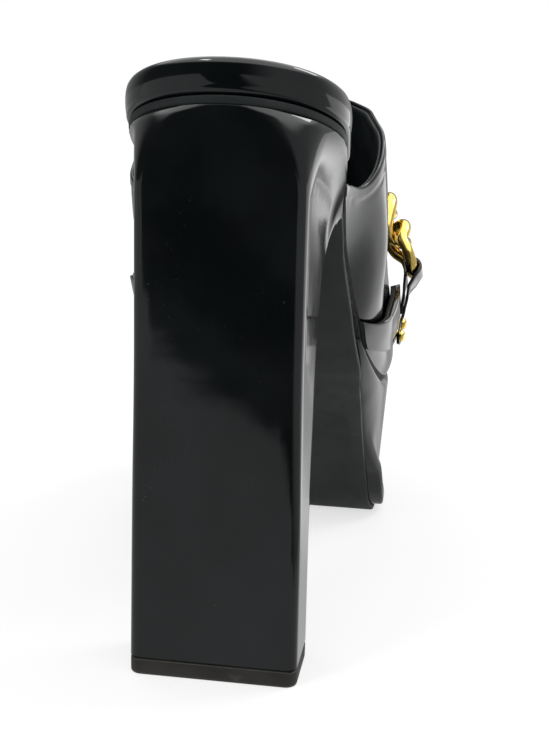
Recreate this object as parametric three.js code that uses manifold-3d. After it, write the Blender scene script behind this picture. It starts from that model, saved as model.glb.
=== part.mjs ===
// Platform mule, right shoe: toe along +Y, outer side along +X, floor at z = 0, millimetres.
import * as THREE from 'three';
import Module from 'manifold-3d';

// Sizes of the sole
const soleLength = 206;
const ballWidth = 90;
const seatWidth = 60.6;
const seatHeight = 158.6;
const platformHeight = 53.2;
const toeSpring = 7.8;
const outsoleThickness = 2;
const outsoleToeLift = 4.5;
const seatOverhang = 1.2;
const undercut = 6.8;
const edgeInset = 2.6;

// Sizes of the platform's side
const platformTaper = 3.2;
const flangeReach = 1.35;
const flangeSkew = 1.15;
const flangeHeight = 4.2;
const flangeFillet = 6.3;

// Sizes of the heel
const heelBaseWidth = 46.9;
const heelOffset = -0.75;
const heelBaseDepth = 22.8;
const heelCorner = 2.8;
const heelFlare = 24;
const topPieceHeight = 5;

// Sizes of the footbed and the upper
const seatBand = 9.2;
const footbedThickness = 3.6;
const wallThickness = 2.2;
const upperRest = 0.1;
const throatHeight = 159;
const featherNotch = 1.6;
const toeFullness = 0.6;
const tuckBack = 30;
const tuckFront = { 1: 9.5, '-1': 22 };
const insetRun = 9;

// Sizes of the strap, the chain and their fixings
const strapThickness = 3.8;
const strapFrontThickness = 1.8;
const strapEndLength = 0.07;
const linkHalfLength = 9.54;
const linkHalfWidth = 6.6;
const wireRadius = 1.91;
const linkTwist = 2.98;
const linkPitch = 12.6;
const tabWidth = 6.4;
const tabThickness = 1.9;
const tabLength = 26.5;
const tabStretch = 1;
const studRadius = 2.1;
const studHeight = 1.6;
const studSpacing = 6.5;

// Gap between pieces that meet
const gap = 0.35;
const strapGap = 0.62;

// Steps of the meshes
const sideSteps = 56;
const upperRows = 25;
const roundSteps = 16;
const strapSteps = 13;
const linkSteps = 18;
const wireSteps = 7;

// Smooth monotone curve through the rows of a short table
function curve(rows) {
  const xs = rows.map((row) => row[0]);
  const ys = rows.map((row) => row[1]);
  const last = xs.length - 1;
  const slopes = xs.slice(1).map((x, i) => (ys[i + 1] - ys[i]) / (x - xs[i]));
  const tangents = xs.map((x, i) => {
    if (i === 0) return slopes[0];
    if (i === last) return slopes[last - 1];
    if (slopes[i - 1] * slopes[i] <= 0) return 0;
    const before = xs[i] - xs[i - 1];
    const after = xs[i + 1] - xs[i];
    const w1 = 2 * after + before;
    const w2 = after + 2 * before;
    return (w1 + w2) / (w1 / slopes[i - 1] + w2 / slopes[i]);
  });
  return (x) => {
    if (x <= xs[0]) return ys[0] + tangents[0] * (x - xs[0]);
    if (x >= xs[last]) return ys[last] + tangents[last] * (x - xs[last]);
    const i = xs.findIndex((edge, k) => x <= edge && k > 0) - 1;
    const step = xs[i + 1] - xs[i];
    const t = (x - xs[i]) / step;
    const a = (1 + 2 * t) * (1 - t) * (1 - t);
    const b = t * (1 - t) * (1 - t);
    const c = t * t * (3 - 2 * t);
    const d = t * t * (t - 1);
    return a * ys[i] + b * step * tangents[i] + c * ys[i + 1] + d * step * tangents[i + 1];
  };
}

const lerp = (a, b, t) => a + (b - a) * t;
const clamp01 = (t) => Math.min(1, Math.max(0, t));
const ramp = (a, b, x) => {
  const t = clamp01((x - a) / (b - a));
  return t * t * (3 - 2 * t);
};

// Columns: share of sole length, half width of the plan outline
const waistWidths = curve([
  [0.126, 0.5 * seatWidth],
  [0.194, 0.488 * seatWidth],
  [0.252, 0.465 * seatWidth],
  [0.301, 0.469 * seatWidth],
  [0.359, 0.344 * ballWidth],
  [0.417, 0.393 * ballWidth],
  [0.485, 0.444 * ballWidth],
  [0.558, 0.481 * ballWidth],
  [0.631, 0.498 * ballWidth],
  [0.689, 0.5 * ballWidth],
]);

// Columns: share of sole length, middle of the outline across the shoe
const middles = curve([
  [0, 0],
  [0.126, -0.007 * ballWidth],
  [0.252, -0.022 * ballWidth],
  [0.359, -0.048 * ballWidth],
  [0.437, -0.074 * ballWidth],
  [0.534, -0.088 * ballWidth],
  [0.689, -0.1 * ballWidth],
  [1, -0.117 * ballWidth],
]);

// Columns: share of sole length, height of the line that the footbed lies on
const rise = seatHeight - platformHeight;
const feather = curve([
  [0, seatHeight],
  [0.058, platformHeight + 0.949 * rise],
  [0.117, platformHeight + 0.898 * rise],
  [0.175, platformHeight + 0.832 * rise],
  [0.218, platformHeight + 0.765 * rise],
  [0.262, platformHeight + 0.672 * rise],
  [0.32, platformHeight + 0.527 * rise],
  [0.388, platformHeight + 0.338 * rise],
  [0.437, platformHeight + 0.224 * rise],
  [0.485, platformHeight + 0.142 * rise],
  [0.544, platformHeight + 0.072 * rise],
  [0.612, platformHeight + 0.028 * rise],
  [0.689, platformHeight + 0.004 * rise],
  [0.767, platformHeight],
  [0.874, platformHeight + 0.26 * toeSpring],
  [1, platformHeight + toeSpring],
]);

// Columns: share of sole length, height of the platform's slanted back and of the ground line
const backHeight = feather(0.388);
const platformBack = curve([
  [0.34, 1.14 * backHeight],
  [0.388, 0.957 * backHeight],
  [0.437, 0.806 * backHeight],
  [0.485, 0.691 * backHeight],
  [0.534, 0.577 * backHeight],
  [0.573, 0.461 * backHeight],
  [0.612, 0.319 * backHeight],
  [0.65, 0.173 * backHeight],
  [0.67, 0.071 * backHeight],
  [0.696, 0.014 * backHeight],
  [0.724, 0],
  [0.883, 0],
  [1, outsoleToeLift],
]);

// Columns: share of sole length, how far the outsole's edge is drawn in from the outline
const outsoleInsets = curve([
  [0.3, 0],
  [0.359, 0],
  [0.408, 0.13 * undercut],
  [0.447, 0.25 * undercut],
  [0.505, 0.69 * undercut],
  [0.549, 0.91 * undercut],
  [0.592, undercut],
  [0.631, 0.96 * undercut],
  [0.675, 0.74 * undercut],
  [0.709, 0.53 * undercut],
  [0.757, edgeInset],
  [1, edgeInset],
]);

const share = (y) => y / soleLength;
const seatEnd = 0.126 * soleLength;
const ballEnd = 0.689 * soleLength;
const middle = (y) => middles(share(y));
const seatLine = (y) => feather(share(y));

// Half width of the plan outline, rounded off round the seat and round the toe
function halfWidth(y) {
  if (y < seatEnd) {
    const reach = (seatEnd - y) / (seatEnd + seatOverhang);
    return waistWidths(0.126) * Math.sqrt(Math.max(0, 1 - reach ** 2.3));
  }
  if (y > ballEnd) {
    const reach = (y - ballEnd) / (soleLength - ballEnd);
    return waistWidths(0.689) * Math.sqrt(Math.max(0, 1 - reach ** 2.2));
  }
  return waistWidths(share(y));
}

// Outline point at y on one side (+1 outer, -1 inner), moved by offset along its normal
function outline(y, side, offset) {
  const step = 0.02;
  const low = Math.max(-seatOverhang, y - step);
  const high = Math.min(soleLength, y + step);
  const dx = middle(high) - middle(low) + side * (halfWidth(high) - halfWidth(low));
  const dy = high - low;
  let normal = new THREE.Vector2(dy * side, -dx * side).normalize();
  if (y <= -seatOverhang) normal = new THREE.Vector2(0, -1);
  if (y >= soleLength) normal = new THREE.Vector2(0, 1);
  const x = middle(y) + side * halfWidth(y);
  return { x: x + normal.x * offset, y: y + normal.y * offset, nx: normal.x, ny: normal.y };
}

// Upright distance that gives a layer its thickness on the slope of a height line
function upright(line, y, thickness) {
  const slope = line(y + 0.5) - line(y - 0.5);
  return thickness * Math.sqrt(1 + slope * slope);
}

// Underside and top of the outsole
const backLine = (y) => platformBack(share(y));
const underside = (y) => Math.min(seatLine(y) - upright(seatLine, y, outsoleThickness), backLine(y));
const outsoleTop = (y) => Math.min(seatLine(y), underside(y) + upright(underside, y, outsoleThickness));

// Stations along an outline, closer together round the seat and the toe
function stations(start, end, count) {
  const list = [];
  for (let i = 0; i <= count; i++) {
    const even = i / count;
    const eased = (1 - Math.cos(Math.PI * even)) / 2;
    list.push(lerp(start, end, lerp(even, eased, 0.85)));
  }
  return list;
}

// Collects points and faces of one closed solid
class Solid {
  constructor() {
    this.points = [];
    this.faces = [];
  }

  add(x, y, z) {
    this.points.push([x, y, z]);
    return this.points.length - 1;
  }

  quad(a, b, c, d) {
    this.faces.push([a, b, c], [a, c, d]);
  }

  // Welded geometry without faces that have no area
  geometry() {
    const keys = new Map();
    const remap = this.points.map((point) => {
      const key = point.map((value) => Math.round(value * 2000)).join(',');
      if (!keys.has(key)) keys.set(key, keys.size);
      return keys.get(key);
    });
    const positions = new Float32Array(keys.size * 3);
    this.points.forEach((point, i) => positions.set(point, remap[i] * 3));
    const index = [];
    for (const [a, b, c] of this.faces.map((face) => face.map((corner) => remap[corner]))) {
      if (a !== b && b !== c && a !== c) index.push(a, b, c);
    }
    const shape = new THREE.BufferGeometry();
    shape.setAttribute('position', new THREE.BufferAttribute(positions, 3));
    shape.setIndex(index);
    shape.computeVertexNormals();
    return shape;
  }
}

// Solid between loops round the plan outline, with strips across its top and bottom
function stack(ys, levels) {
  const solid = new Solid();
  const rings = levels.map((level) => [1, -1].map((side) => ys.map((y) => {
    const point = level(y, side);
    return solid.add(point.x, point.y, point.z);
  })));
  const last = ys.length - 1;
  for (let j = 0; j + 1 < rings.length; j++) {
    const [outerTop, innerTop] = rings[j];
    const [outerLow, innerLow] = rings[j + 1];
    for (let i = 0; i < last; i++) {
      solid.quad(outerTop[i], outerLow[i], outerLow[i + 1], outerTop[i + 1]);
      solid.quad(innerTop[i + 1], innerLow[i + 1], innerLow[i], innerTop[i]);
    }
    solid.quad(innerTop[0], innerLow[0], outerLow[0], outerTop[0]);
    solid.quad(outerTop[last], outerLow[last], innerLow[last], innerTop[last]);
  }
  const [outerTop, innerTop] = rings[0];
  const [outerLow, innerLow] = rings[rings.length - 1];
  for (let i = 0; i < last; i++) {
    solid.quad(innerTop[i], outerTop[i], outerTop[i + 1], innerTop[i + 1]);
    solid.quad(innerLow[i + 1], outerLow[i + 1], outerLow[i], innerLow[i]);
  }
  return solid.geometry();
}

const meshes = new THREE.Group();

function addMesh(name, shape, look) {
  const mesh = new THREE.Mesh(shape, new THREE.MeshStandardMaterial(look));
  mesh.name = name;
  meshes.add(mesh);
  return mesh;
}

const patent = { color: 0x07090b, roughness: 0.08, metalness: 0 };
const soleRubber = { color: 0x2d3232, roughness: 0.7, metalness: 0 };
const tipRubber = { color: 0x33322e, roughness: 0.6, metalness: 0 };
const lining = { color: 0x0f1517, roughness: 0.55, metalness: 0 };
const gold = { color: 0xd9a93c, roughness: 0.15, metalness: 1 };

// Outsole: one thin sheet from the seat down the arch and the platform's back to the toe
function outsoleShape() {
  const ys = stations(-seatOverhang, soleLength, sideSteps);
  const level = (inset, lift) => (y, side) => {
    const edge = outline(y, side, -outsoleInsets(share(y)) - inset);
    return { x: edge.x, y: edge.y, z: lerp(underside(edge.y), outsoleTop(edge.y), lift) };
  };
  return stack(ys, [level(0.3, 1), level(0, 0.75), level(0, 0.25), level(0.4, 0)]);
}

// Platform: covered block between the outsole and the footbed, with its flared lower edge
const platformStart = 0.425 * soleLength;

const platformFloor = (y) => outsoleTop(y) + upright(outsoleTop, y, gap);

function platformShape() {
  const spaced = stations(-seatOverhang, soleLength, sideSteps).filter((y) => y > platformStart + 1);
  const ys = [platformStart, ...spaced];
  const wall = (y, side, fall, inset) => {
    const plan = outline(y, side, 0);
    const height = seatLine(y) - platformFloor(y);
    const scale = Math.min(1, height / 16);
    const depth = fall.share * (height - (flangeHeight + flangeFillet) * scale) + fall.length * scale;
    const above = height - depth;
    const down = depth / height;
    const grown = ramp(0.602, 0.689, share(y));
    const reach = platformTaper + flangeReach - flangeSkew * plan.nx;
    const fillet = clamp01((above / scale - flangeHeight) / flangeFillet);
    const plain = -outsoleInsets(share(y)) * down ** 1.6;
    const flared = -platformTaper * down + reach * (1 - fillet) ** 2;
    const edge = outline(y, side, lerp(plain, flared, grown) - inset);
    return { x: edge.x, y: edge.y, z: seatLine(y) - depth };
  };
  const at = (part, length, inset = 0) => (y, side) => wall(y, side, { share: part, length }, inset);
  const lowest = flangeHeight + flangeFillet;
  return stack(ys, [
    at(0, 0, 1), at(0, 0.8, 0.3), at(0, 2.2), at(0.33, 1.4), at(0.66, 0.7), at(1, 0),
    at(1, 0.3 * flangeFillet), at(1, 0.62 * flangeFillet), at(1, flangeFillet),
    at(1, lowest - 0.8), at(1, lowest, 0.8),
  ]);
}

// Footbed: the insole, with a thick rounded band round the seat
const upperStart = 0.223 * soleLength;
const notch = (y) => lerp(0.2, featherNotch, ramp(0.39, 0.46, share(y)));

// Columns: share of sole length, upright thickness of the footbed
const footbedHeights = curve([
  [0, seatBand],
  [0.184, 1.02 * seatBand],
  [0.223, 0.91 * seatBand],
  [0.262, 2.05 * footbedThickness],
  [0.32, 1.83 * footbedThickness],
  [0.437, 1.5 * footbedThickness],
  [0.544, 1.17 * footbedThickness],
  [1, footbedThickness],
]);

const footbedFloor = (y) => seatLine(y) + upright(seatLine, y, gap);
const footbedTop = (y) => footbedFloor(y) + footbedHeights(share(y));

function footbedInset(y) {
  const inside = notch(y) + wallThickness + gap + 0.1;
  return inside * ramp(upperStart - insetRun, upperStart - 1, y);
}

function footbedShape() {
  const ys = stations(-seatOverhang, soleLength, sideSteps);
  const level = (inset, lift) => (y, side) => {
    const edge = outline(y, side, -footbedInset(y) - inset);
    return { x: edge.x, y: edge.y, z: lerp(footbedFloor(edge.y), footbedTop(edge.y), lift) };
  };
  return stack(ys, [
    level(3.2, 1), level(1.3, 0.94), level(0.35, 0.78), level(0, 0.5), level(0.25, 0.2), level(0.9, 0),
  ]);
}

// Upper: sections across the shoe that run from the feather line over the crown
// Columns: share of sole length, height of the crown line
const crowns = curve([
  [0.223, 1.3 * throatHeight],
  [0.291, 1.25 * throatHeight],
  [0.388, 1.194 * throatHeight],
  [0.485, 1.129 * throatHeight],
  [0.583, 1.06 * throatHeight],
  [0.665, throatHeight],
  [0.704, 0.948 * throatHeight],
  [0.752, 0.862 * throatHeight],
  [0.801, 0.77 * throatHeight],
  [0.84, 0.69 * throatHeight],
  [0.898, 0.61 * throatHeight],
  [1, 0.6 * throatHeight],
]);

// Columns: share of sole length, exponent of the section, boxy at the back and round in front
const squareness = curve([
  [0.437, 3],
  [0.485, 2.8],
  [0.534, 2.3],
  [0.583, 2.05],
  [0.631, 1.9],
  [0.7, 1.9],
  [1, 2.2],
]);

// Columns: share of sole length, how far the wall stands out past the outline on the outer side
const outerBulges = curve([
  [0.223, 0.062 * ballWidth],
  [0.291, 0.091 * ballWidth],
  [0.325, 0.107 * ballWidth],
  [0.359, 0.103 * ballWidth],
  [0.437, 0.072 * ballWidth],
  [0.534, 0.056 * ballWidth],
  [0.583, 0.05 * ballWidth],
  [0.7, 0.034 * ballWidth],
  [1, 0.006 * ballWidth],
]);

// Columns: the same on the inner side
const innerBulges = curve([
  [0.223, 0.062 * ballWidth],
  [0.291, 0.091 * ballWidth],
  [0.325, 0.102 * ballWidth],
  [0.359, 0.088 * ballWidth],
  [0.4, 0.044 * ballWidth],
  [0.437, 0.006 * ballWidth],
  [0.485, -0.026 * ballWidth],
  [0.534, -0.046 * ballWidth],
  [0.6, -0.048 * ballWidth],
  [0.7, -0.034 * ballWidth],
  [1, 0.006 * ballWidth],
]);

// Columns: place round the section, from 0 at the feather to 1 at the crown, and the topline there
const toplines = curve([
  [0, 0.223],
  [0.09, 0.291],
  [0.17, 0.32],
  [0.28, 0.359],
  [0.37, 0.391],
  [0.46, 0.439],
  [0.57, 0.51],
  [0.66, 0.568],
  [0.76, 0.621],
  [0.88, 0.655],
  [1, 0.665],
]);

const innerToplineShift = 4;
const capStart = 0.835 * soleLength;
const toeTip = soleLength + toeFullness;

const topline = (place, side) => {
  const shift = side < 0 ? innerToplineShift * Math.sin(Math.PI * place) : 0;
  return toplines(place) * soleLength + shift;
};

// Point of the upper's outer form at y and place, grown by offset (negative shrinks it)
function upperPoint(y, place, side, offset) {
  const tip = toeTip + offset;
  const squeezed = y > ballEnd ? lerp(ballEnd, toeTip, (y - ballEnd) / (tip - ballEnd)) : y;
  const along = Math.min(1, share(squeezed));
  const bulge = side > 0 ? outerBulges(along) : innerBulges(along);
  const reach = Math.max(0, squeezed - ballEnd) / (toeTip - ballEnd);
  const round = Math.sqrt(Math.max(0, 1 - reach ** 2.2));
  const plain = y > ballEnd ? waistWidths(0.689) * round : halfWidth(y);
  const width = plain + (bulge + offset) * (y > ballEnd ? round : 1);
  const cap = Math.max(0, y - capStart) / (tip - capStart);
  const height = (crowns(share(y)) + offset - seatLine(y)) * Math.sqrt(Math.max(0, 1 - cap ** 2.4));
  const power = squareness(along);
  const up = Math.sin(place * Math.PI / 2);
  const out = Math.max(0, 1 - up ** power) ** (1 / power);
  const lift = up * height;
  const tuckHeight = lerp(tuckBack, tuckFront[side], ramp(0.33, 0.55, along));
  const tuck = (bulge + notch(squeezed)) * Math.max(0, 1 - lift / tuckHeight) ** 2;
  const plan = outline(Math.min(squeezed, soleLength), side, 0);
  const x = middle(y) + side * width * out - plan.nx * tuck;
  const back = y - plan.ny * tuck;
  return new THREE.Vector3(x, back, footbedFloor(back) + upperRest + lift);
}

// Places round the section, closer together near the feather line
function placesRound(count) {
  const half = [];
  for (let i = 0; i <= count; i++) half.push({ place: (i / count) ** 1.35, side: 1 });
  const back = half.slice(0, -1).reverse().map((spot) => ({ place: spot.place, side: -1 }));
  return [...half, ...back];
}

function upperShape() {
  const solid = new Solid();
  const spots = placesRound(roundSteps);
  const layer = (offset) => spots.map((spot) => {
    const column = [];
    const start = topline(spot.place, spot.side);
    for (let i = 0; i <= upperRows; i++) {
      const t = i / upperRows;
      const along = lerp(t, Math.sin(t * Math.PI / 2), 0.8);
      const point = upperPoint(lerp(start, toeTip + offset, along), spot.place, spot.side, offset);
      column.push(solid.add(point.x, point.y, point.z));
    }
    return column;
  });
  const outer = layer(0);
  const inner = layer(-wallThickness);
  const lastSpot = spots.length - 1;
  for (let k = 0; k < lastSpot; k++) {
    for (let i = 0; i < upperRows; i++) {
      solid.quad(outer[k][i], outer[k][i + 1], outer[k + 1][i + 1], outer[k + 1][i]);
      solid.quad(inner[k + 1][i], inner[k + 1][i + 1], inner[k][i + 1], inner[k][i]);
    }
    solid.quad(inner[k][0], outer[k][0], outer[k + 1][0], inner[k + 1][0]);
  }
  for (let i = 0; i < upperRows; i++) {
    solid.quad(inner[0][i], inner[0][i + 1], outer[0][i + 1], outer[0][i]);
    solid.quad(outer[lastSpot][i], outer[lastSpot][i + 1], inner[lastSpot][i + 1], inner[lastSpot][i]);
  }
  return solid.geometry();
}

// Strap: two halves that rise from the feather line and end where the chain starts
// Columns: place, back and front edge on the outer side, back and front edge on the inner side
const strapRows = [
  [0, 0.388, 0.437, 0.35, 0.408],
  [0.03, 0.422, 0.495, 0.372, 0.44],
  [0.08, 0.466, 0.59, 0.408, 0.505],
  [0.1, 0.483, 0.652, 0.43, 0.54],
  [0.13, 0.51, 0.678, 0.462, 0.587],
  [0.18, 0.55, 0.69, 0.505, 0.64],
  [0.23, 0.578, 0.706, 0.534, 0.676],
  [0.33, 0.625, 0.752, 0.584, 0.722],
  [0.5, 0.683, 0.79, 0.658, 0.776],
  [0.7, 0.719, 0.804, 0.711, 0.8],
  [0.87, 0.741, 0.811, 0.739, 0.81],
  [1, 0.745, 0.812, 0.745, 0.812],
];
const strapColumn = (index) => curve(strapRows.map((row) => [row[0], row[index]]));
const strapBack = { 1: strapColumn(1), '-1': strapColumn(3) };
const strapFront = { 1: strapColumn(2), '-1': strapColumn(4) };

const strapEnds = { 1: 0.2, '-1': 0.29 };
const routeAcross = (place) => lerp(0.8, 0.42, ramp(0.06, 0.26, place));

// Point on the upper under the band that the strap and the chain follow
function bandPoint(place, side, across, offset) {
  const y = lerp(strapBack[side](place), strapFront[side](place), across) * soleLength;
  return upperPoint(y, place, side, offset);
}

// The same for the strap, whose end is rounded off round the chain's route
function strapPoint(place, side, across, offset) {
  const reach = clamp01((place - strapEnds[side]) / strapEndLength + 1);
  const narrow = Math.sqrt(1 - 0.93 * reach ** 2.4);
  return bandPoint(place, side, lerp(routeAcross(place), across, narrow), offset);
}

// Section of the strap: share across, share of the thickness above the upper
const strapOuter = [[0.015, 0.25], [0.015, 0.7], [0.06, 1], [0.35, 1], [0.8, 1], [0.93, 1], [1, 0.6]];
const strapInner = [[1, 0], [0.8, 0], [0.6, 0], [0.4, 0], [0.2, 0], [0.04, 0]];
const strapTop = (across) => lerp(strapThickness, strapFrontThickness, ramp(0.8, 1, across));

function strapShape(side) {
  const solid = new Solid();
  const rings = [];
  for (let k = 0; k <= strapSteps; k++) {
    const place = lerp(0.004, strapEnds[side], Math.sin((k / strapSteps) * Math.PI / 2));
    rings.push([...strapOuter, ...strapInner].map(([across, part]) => {
      const point = strapPoint(place, side, across, strapGap + part * strapTop(across));
      return solid.add(point.x, point.y, point.z);
    }));
  }
  const count = rings[0].length;
  const turned = side > 0 ? rings : [...rings].reverse();
  for (let k = 0; k + 1 < rings.length; k++) {
    for (let i = 0; i < count; i++) {
      const next = (i + 1) % count;
      solid.quad(turned[k][i], turned[k][next], turned[k + 1][next], turned[k + 1][i]);
    }
  }
  for (let i = 1; i + 1 < count; i++) {
    solid.faces.push([turned[0][0], turned[0][i + 1], turned[0][i]]);
    solid.faces.push([turned.at(-1)[0], turned.at(-1)[i], turned.at(-1)[i + 1]]);
  }
  return solid.geometry();
}

// Heel: a block that grows from its base into the seat, with a slanted front
// Columns: share of seat height, half width as a share of the base width, depth from the back
const heelWidths = curve([
  [0.03, 0.5 * heelBaseWidth],
  [0.3, 0.493 * heelBaseWidth],
  [0.6, 0.482 * heelBaseWidth],
  [0.8, 0.482 * heelBaseWidth],
  [1, 0.5 * heelBaseWidth],
]);
const heelDepths = curve([
  [0.03, heelBaseDepth],
  [0.2, 1.02 * heelBaseDepth],
  [0.35, 1.14 * heelBaseDepth],
  [0.46, 1.3 * heelBaseDepth],
  [0.55, 1.5 * heelBaseDepth],
  [0.64, 1.77 * heelBaseDepth],
  [0.72, 2.05 * heelBaseDepth],
  [0.8, 2.3 * heelBaseDepth],
  [1, 2.6 * heelBaseDepth],
]);
const breastEnd = 0.252 * soleLength;

// Half of a rounded rectangle from the middle of the back to the middle of the breast
function heelHalf(width, depth, corner) {
  const list = [[0, 0], [width * 0.5, 0]];
  for (let i = 0; i <= 4; i++) {
    const turn = (i / 4) * Math.PI / 2;
    list.push([width - corner + corner * Math.sin(turn), corner - corner * Math.cos(turn)]);
  }
  list.push([width, lerp(corner, depth - corner, 0.33)], [width, lerp(corner, depth - corner, 0.66)]);
  for (let i = 0; i <= 3; i++) {
    const turn = (i / 3) * Math.PI / 2;
    list.push([width - corner + corner * Math.cos(turn), depth - corner + corner * Math.sin(turn)]);
  }
  list.push([width * 0.4, depth], [0, depth]);
  return list;
}

// Seat outline with as many points as heelHalf, from the back round to the breast
function seatHalf(side) {
  const spots = [0, 0.011, 0.03, 0.06, 0.107, 0.173, 0.267, 0.437, 0.663, 0.851, 0.945, 0.983, 1];
  const list = spots.map((spot) => {
    const edge = outline(lerp(-seatOverhang, breastEnd, spot), side, -0.8);
    return [edge.x, Math.min(edge.y, breastEnd)];
  });
  list.push([0.4 * list.at(-1)[0], breastEnd], [0, breastEnd]);
  return list;
}

function heelShape() {
  const solid = new Solid();
  const steps = [0, 0.12, 0.3, 0.45, 0.58, 0.68, 0.76, 0.83, 0.89, 0.94, 0.975, 1];
  const tops = { 1: seatHalf(1), '-1': seatHalf(-1) };
  const base = topPieceHeight + gap;
  const ring = (step, side) => tops[side].map(([topX, topY], i) => {
    const ceiling = underside(topY) - upright(underside, topY, gap);
    const z = lerp(base, ceiling, step);
    const part = z / seatHeight;
    const [shaftX, shaftY] = heelHalf(heelWidths(part), heelDepths(part), heelCorner)[i];
    const flare = clamp01((z - ceiling + heelFlare) / heelFlare) ** 2.6;
    return [lerp(heelOffset + side * shaftX, topX, flare), lerp(shaftY, topY, flare), z];
  });
  const rings = steps.map((step) => [1, -1].map((side) => ring(step, side).map((p) => solid.add(...p))));
  const count = tops[1].length;
  for (let j = 0; j + 1 < rings.length; j++) {
    const [outerLow, innerLow] = rings[j];
    const [outerTop, innerTop] = rings[j + 1];
    for (let i = 0; i + 1 < count; i++) {
      solid.quad(outerLow[i], outerLow[i + 1], outerTop[i + 1], outerTop[i]);
      solid.quad(innerLow[i + 1], innerLow[i], innerTop[i], innerTop[i + 1]);
    }
  }
  const [outerLow, innerLow] = rings[0];
  const [outerTop, innerTop] = rings.at(-1);
  for (let i = 0; i + 1 < count; i++) {
    solid.quad(innerLow[i], innerLow[i + 1], outerLow[i + 1], outerLow[i]);
    solid.quad(outerTop[i], outerTop[i + 1], innerTop[i + 1], innerTop[i]);
  }
  return solid.geometry();
}

function topPieceShape() {
  const half = heelHalf(heelWidths(0.03), heelDepths(0.03), heelCorner);
  const solid = new Solid();
  const levels = [[0, 0.5], [0.8, 0], [topPieceHeight - 0.3, 0], [topPieceHeight, 0.3]];
  const rings = levels.map(([z, inset]) => [1, -1].map((side) => half.map(([x, y]) => {
    const shrink = 1 - inset / heelBaseDepth;
    return solid.add(heelOffset + side * x * shrink, heelBaseDepth / 2 + (y - heelBaseDepth / 2) * shrink, z);
  })));
  for (let j = 0; j + 1 < rings.length; j++) {
    const [outerLow, innerLow] = rings[j];
    const [outerTop, innerTop] = rings[j + 1];
    for (let i = 0; i + 1 < half.length; i++) {
      solid.quad(outerLow[i], outerLow[i + 1], outerTop[i + 1], outerTop[i]);
      solid.quad(innerLow[i + 1], innerLow[i], innerTop[i], innerTop[i + 1]);
    }
  }
  for (let i = 0; i + 1 < half.length; i++) {
    solid.quad(rings[0][1][i], rings[0][1][i + 1], rings[0][0][i + 1], rings[0][0][i]);
    const top = rings.at(-1);
    solid.quad(top[0][i], top[0][i + 1], top[1][i + 1], top[1][i]);
  }
  return solid.geometry();
}

// Route of the chain over the upper and the strap, with the normal at each point
const chainEnds = { 1: 0.25, '-1': 0.34 };

function routePoint(at) {
  const side = at < 0 ? 1 : -1;
  const place = 1 - Math.abs(at) * (1 - chainEnds[side]);
  const across = routeAcross(place);
  const onStrap = 1 - ramp(strapEnds[side] - 0.02, strapEnds[side] + 0.18, place);
  const top = (p, a) => bandPoint(p, side, a, 0);
  const point = bandPoint(place, side, across, onStrap * (strapGap + strapTop(across)));
  const round = top(Math.min(1, place + 0.005), across).sub(top(place - 0.005, across));
  const forward = top(place, across + 0.02).sub(top(place, across - 0.02));
  const normal = round.cross(forward).multiplyScalar(-side).normalize();
  return { point, normal };
}

// Evenly spaced frames along the chain's route
function chainFrames() {
  const fine = [];
  for (let i = -328; i <= 365; i++) fine.push(routePoint(i / 250));
  const lengths = [0];
  for (let i = 1; i < fine.length; i++) {
    lengths.push(lengths[i - 1] + fine[i].point.distanceTo(fine[i - 1].point));
  }
  const lookUp = (length) => {
    const i = Math.max(1, lengths.findIndex((value) => value >= length));
    const t = (length - lengths[i - 1]) / (lengths[i] - lengths[i - 1]);
    const point = fine[i - 1].point.clone().lerp(fine[i].point, t);
    const normal = fine[i - 1].normal.clone().lerp(fine[i].normal, t).normalize();
    return { point, normal };
  };
  const start = lengths[78];
  const end = lengths[578];
  const count = Math.floor((end - start) / linkPitch);
  const first = (start + end - count * linkPitch) / 2;
  const frame = (length) => {
    const { point, normal } = lookUp(length);
    const along = lookUp(length + 1).point.sub(lookUp(length - 1).point).normalize();
    const across = normal.clone().cross(along).normalize();
    const up = along.clone().cross(across).normalize();
    return { point, along, across, up };
  };
  return { count, first, frame };
}

const chain = chainFrames();
const linkLift = linkTwist + wireRadius + gap;

// Chain link: a twisted oval of round wire, flat in the half that has no neighbour
function linkShape(freeEnd) {
  const solid = new Solid();
  const twist = (turn) => linkTwist * (freeEnd === 0 ? 1 : ramp(-0.35, 0.35, -freeEnd * Math.cos(turn)));
  const centre = (turn) => new THREE.Vector3(
    linkHalfLength * Math.cos(turn),
    linkHalfWidth * Math.sin(turn),
    twist(turn) * Math.sin(2 * turn),
  );
  const rings = [];
  for (let i = 0; i < linkSteps; i++) {
    const turn = (i / linkSteps) * 2 * Math.PI;
    const along = centre(turn + 0.01).sub(centre(turn - 0.01)).normalize();
    const out = new THREE.Vector3(Math.cos(turn) / linkHalfLength, Math.sin(turn) / linkHalfWidth, 0);
    const up = along.clone().cross(out).normalize();
    const side = up.clone().cross(along).normalize();
    const ring = [];
    for (let j = 0; j < wireSteps; j++) {
      const angle = (j / wireSteps) * 2 * Math.PI;
      const point = centre(turn)
        .addScaledVector(side, wireRadius * Math.cos(angle))
        .addScaledVector(up, wireRadius * Math.sin(angle));
      ring.push(solid.add(point.x, point.y, point.z));
    }
    rings.push(ring);
  }
  for (let i = 0; i < linkSteps; i++) {
    const next = rings[(i + 1) % linkSteps];
    for (let j = 0; j < wireSteps; j++) {
      const k = (j + 1) % wireSteps;
      solid.quad(rings[i][j], rings[i][k], next[k], next[j]);
    }
  }
  return solid.geometry();
}

function placed(shape, frame, lift) {
  const matrix = new THREE.Matrix4().makeBasis(frame.along, frame.across, frame.up);
  matrix.setPosition(frame.point.clone().addScaledVector(frame.up, lift));
  return shape.clone().applyMatrix4(matrix);
}

// Tab: leather loop through the end link, running down the strap to its two studs
const tabBase = gap + 0.1;
const tabStart = 1.2;
const tabSlope = 0.3;
const tabTop = (run) => Math.max(tabThickness, lerp(linkLift, 0, (run - tabStart) / (tabSlope * tabLength)));

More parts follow.
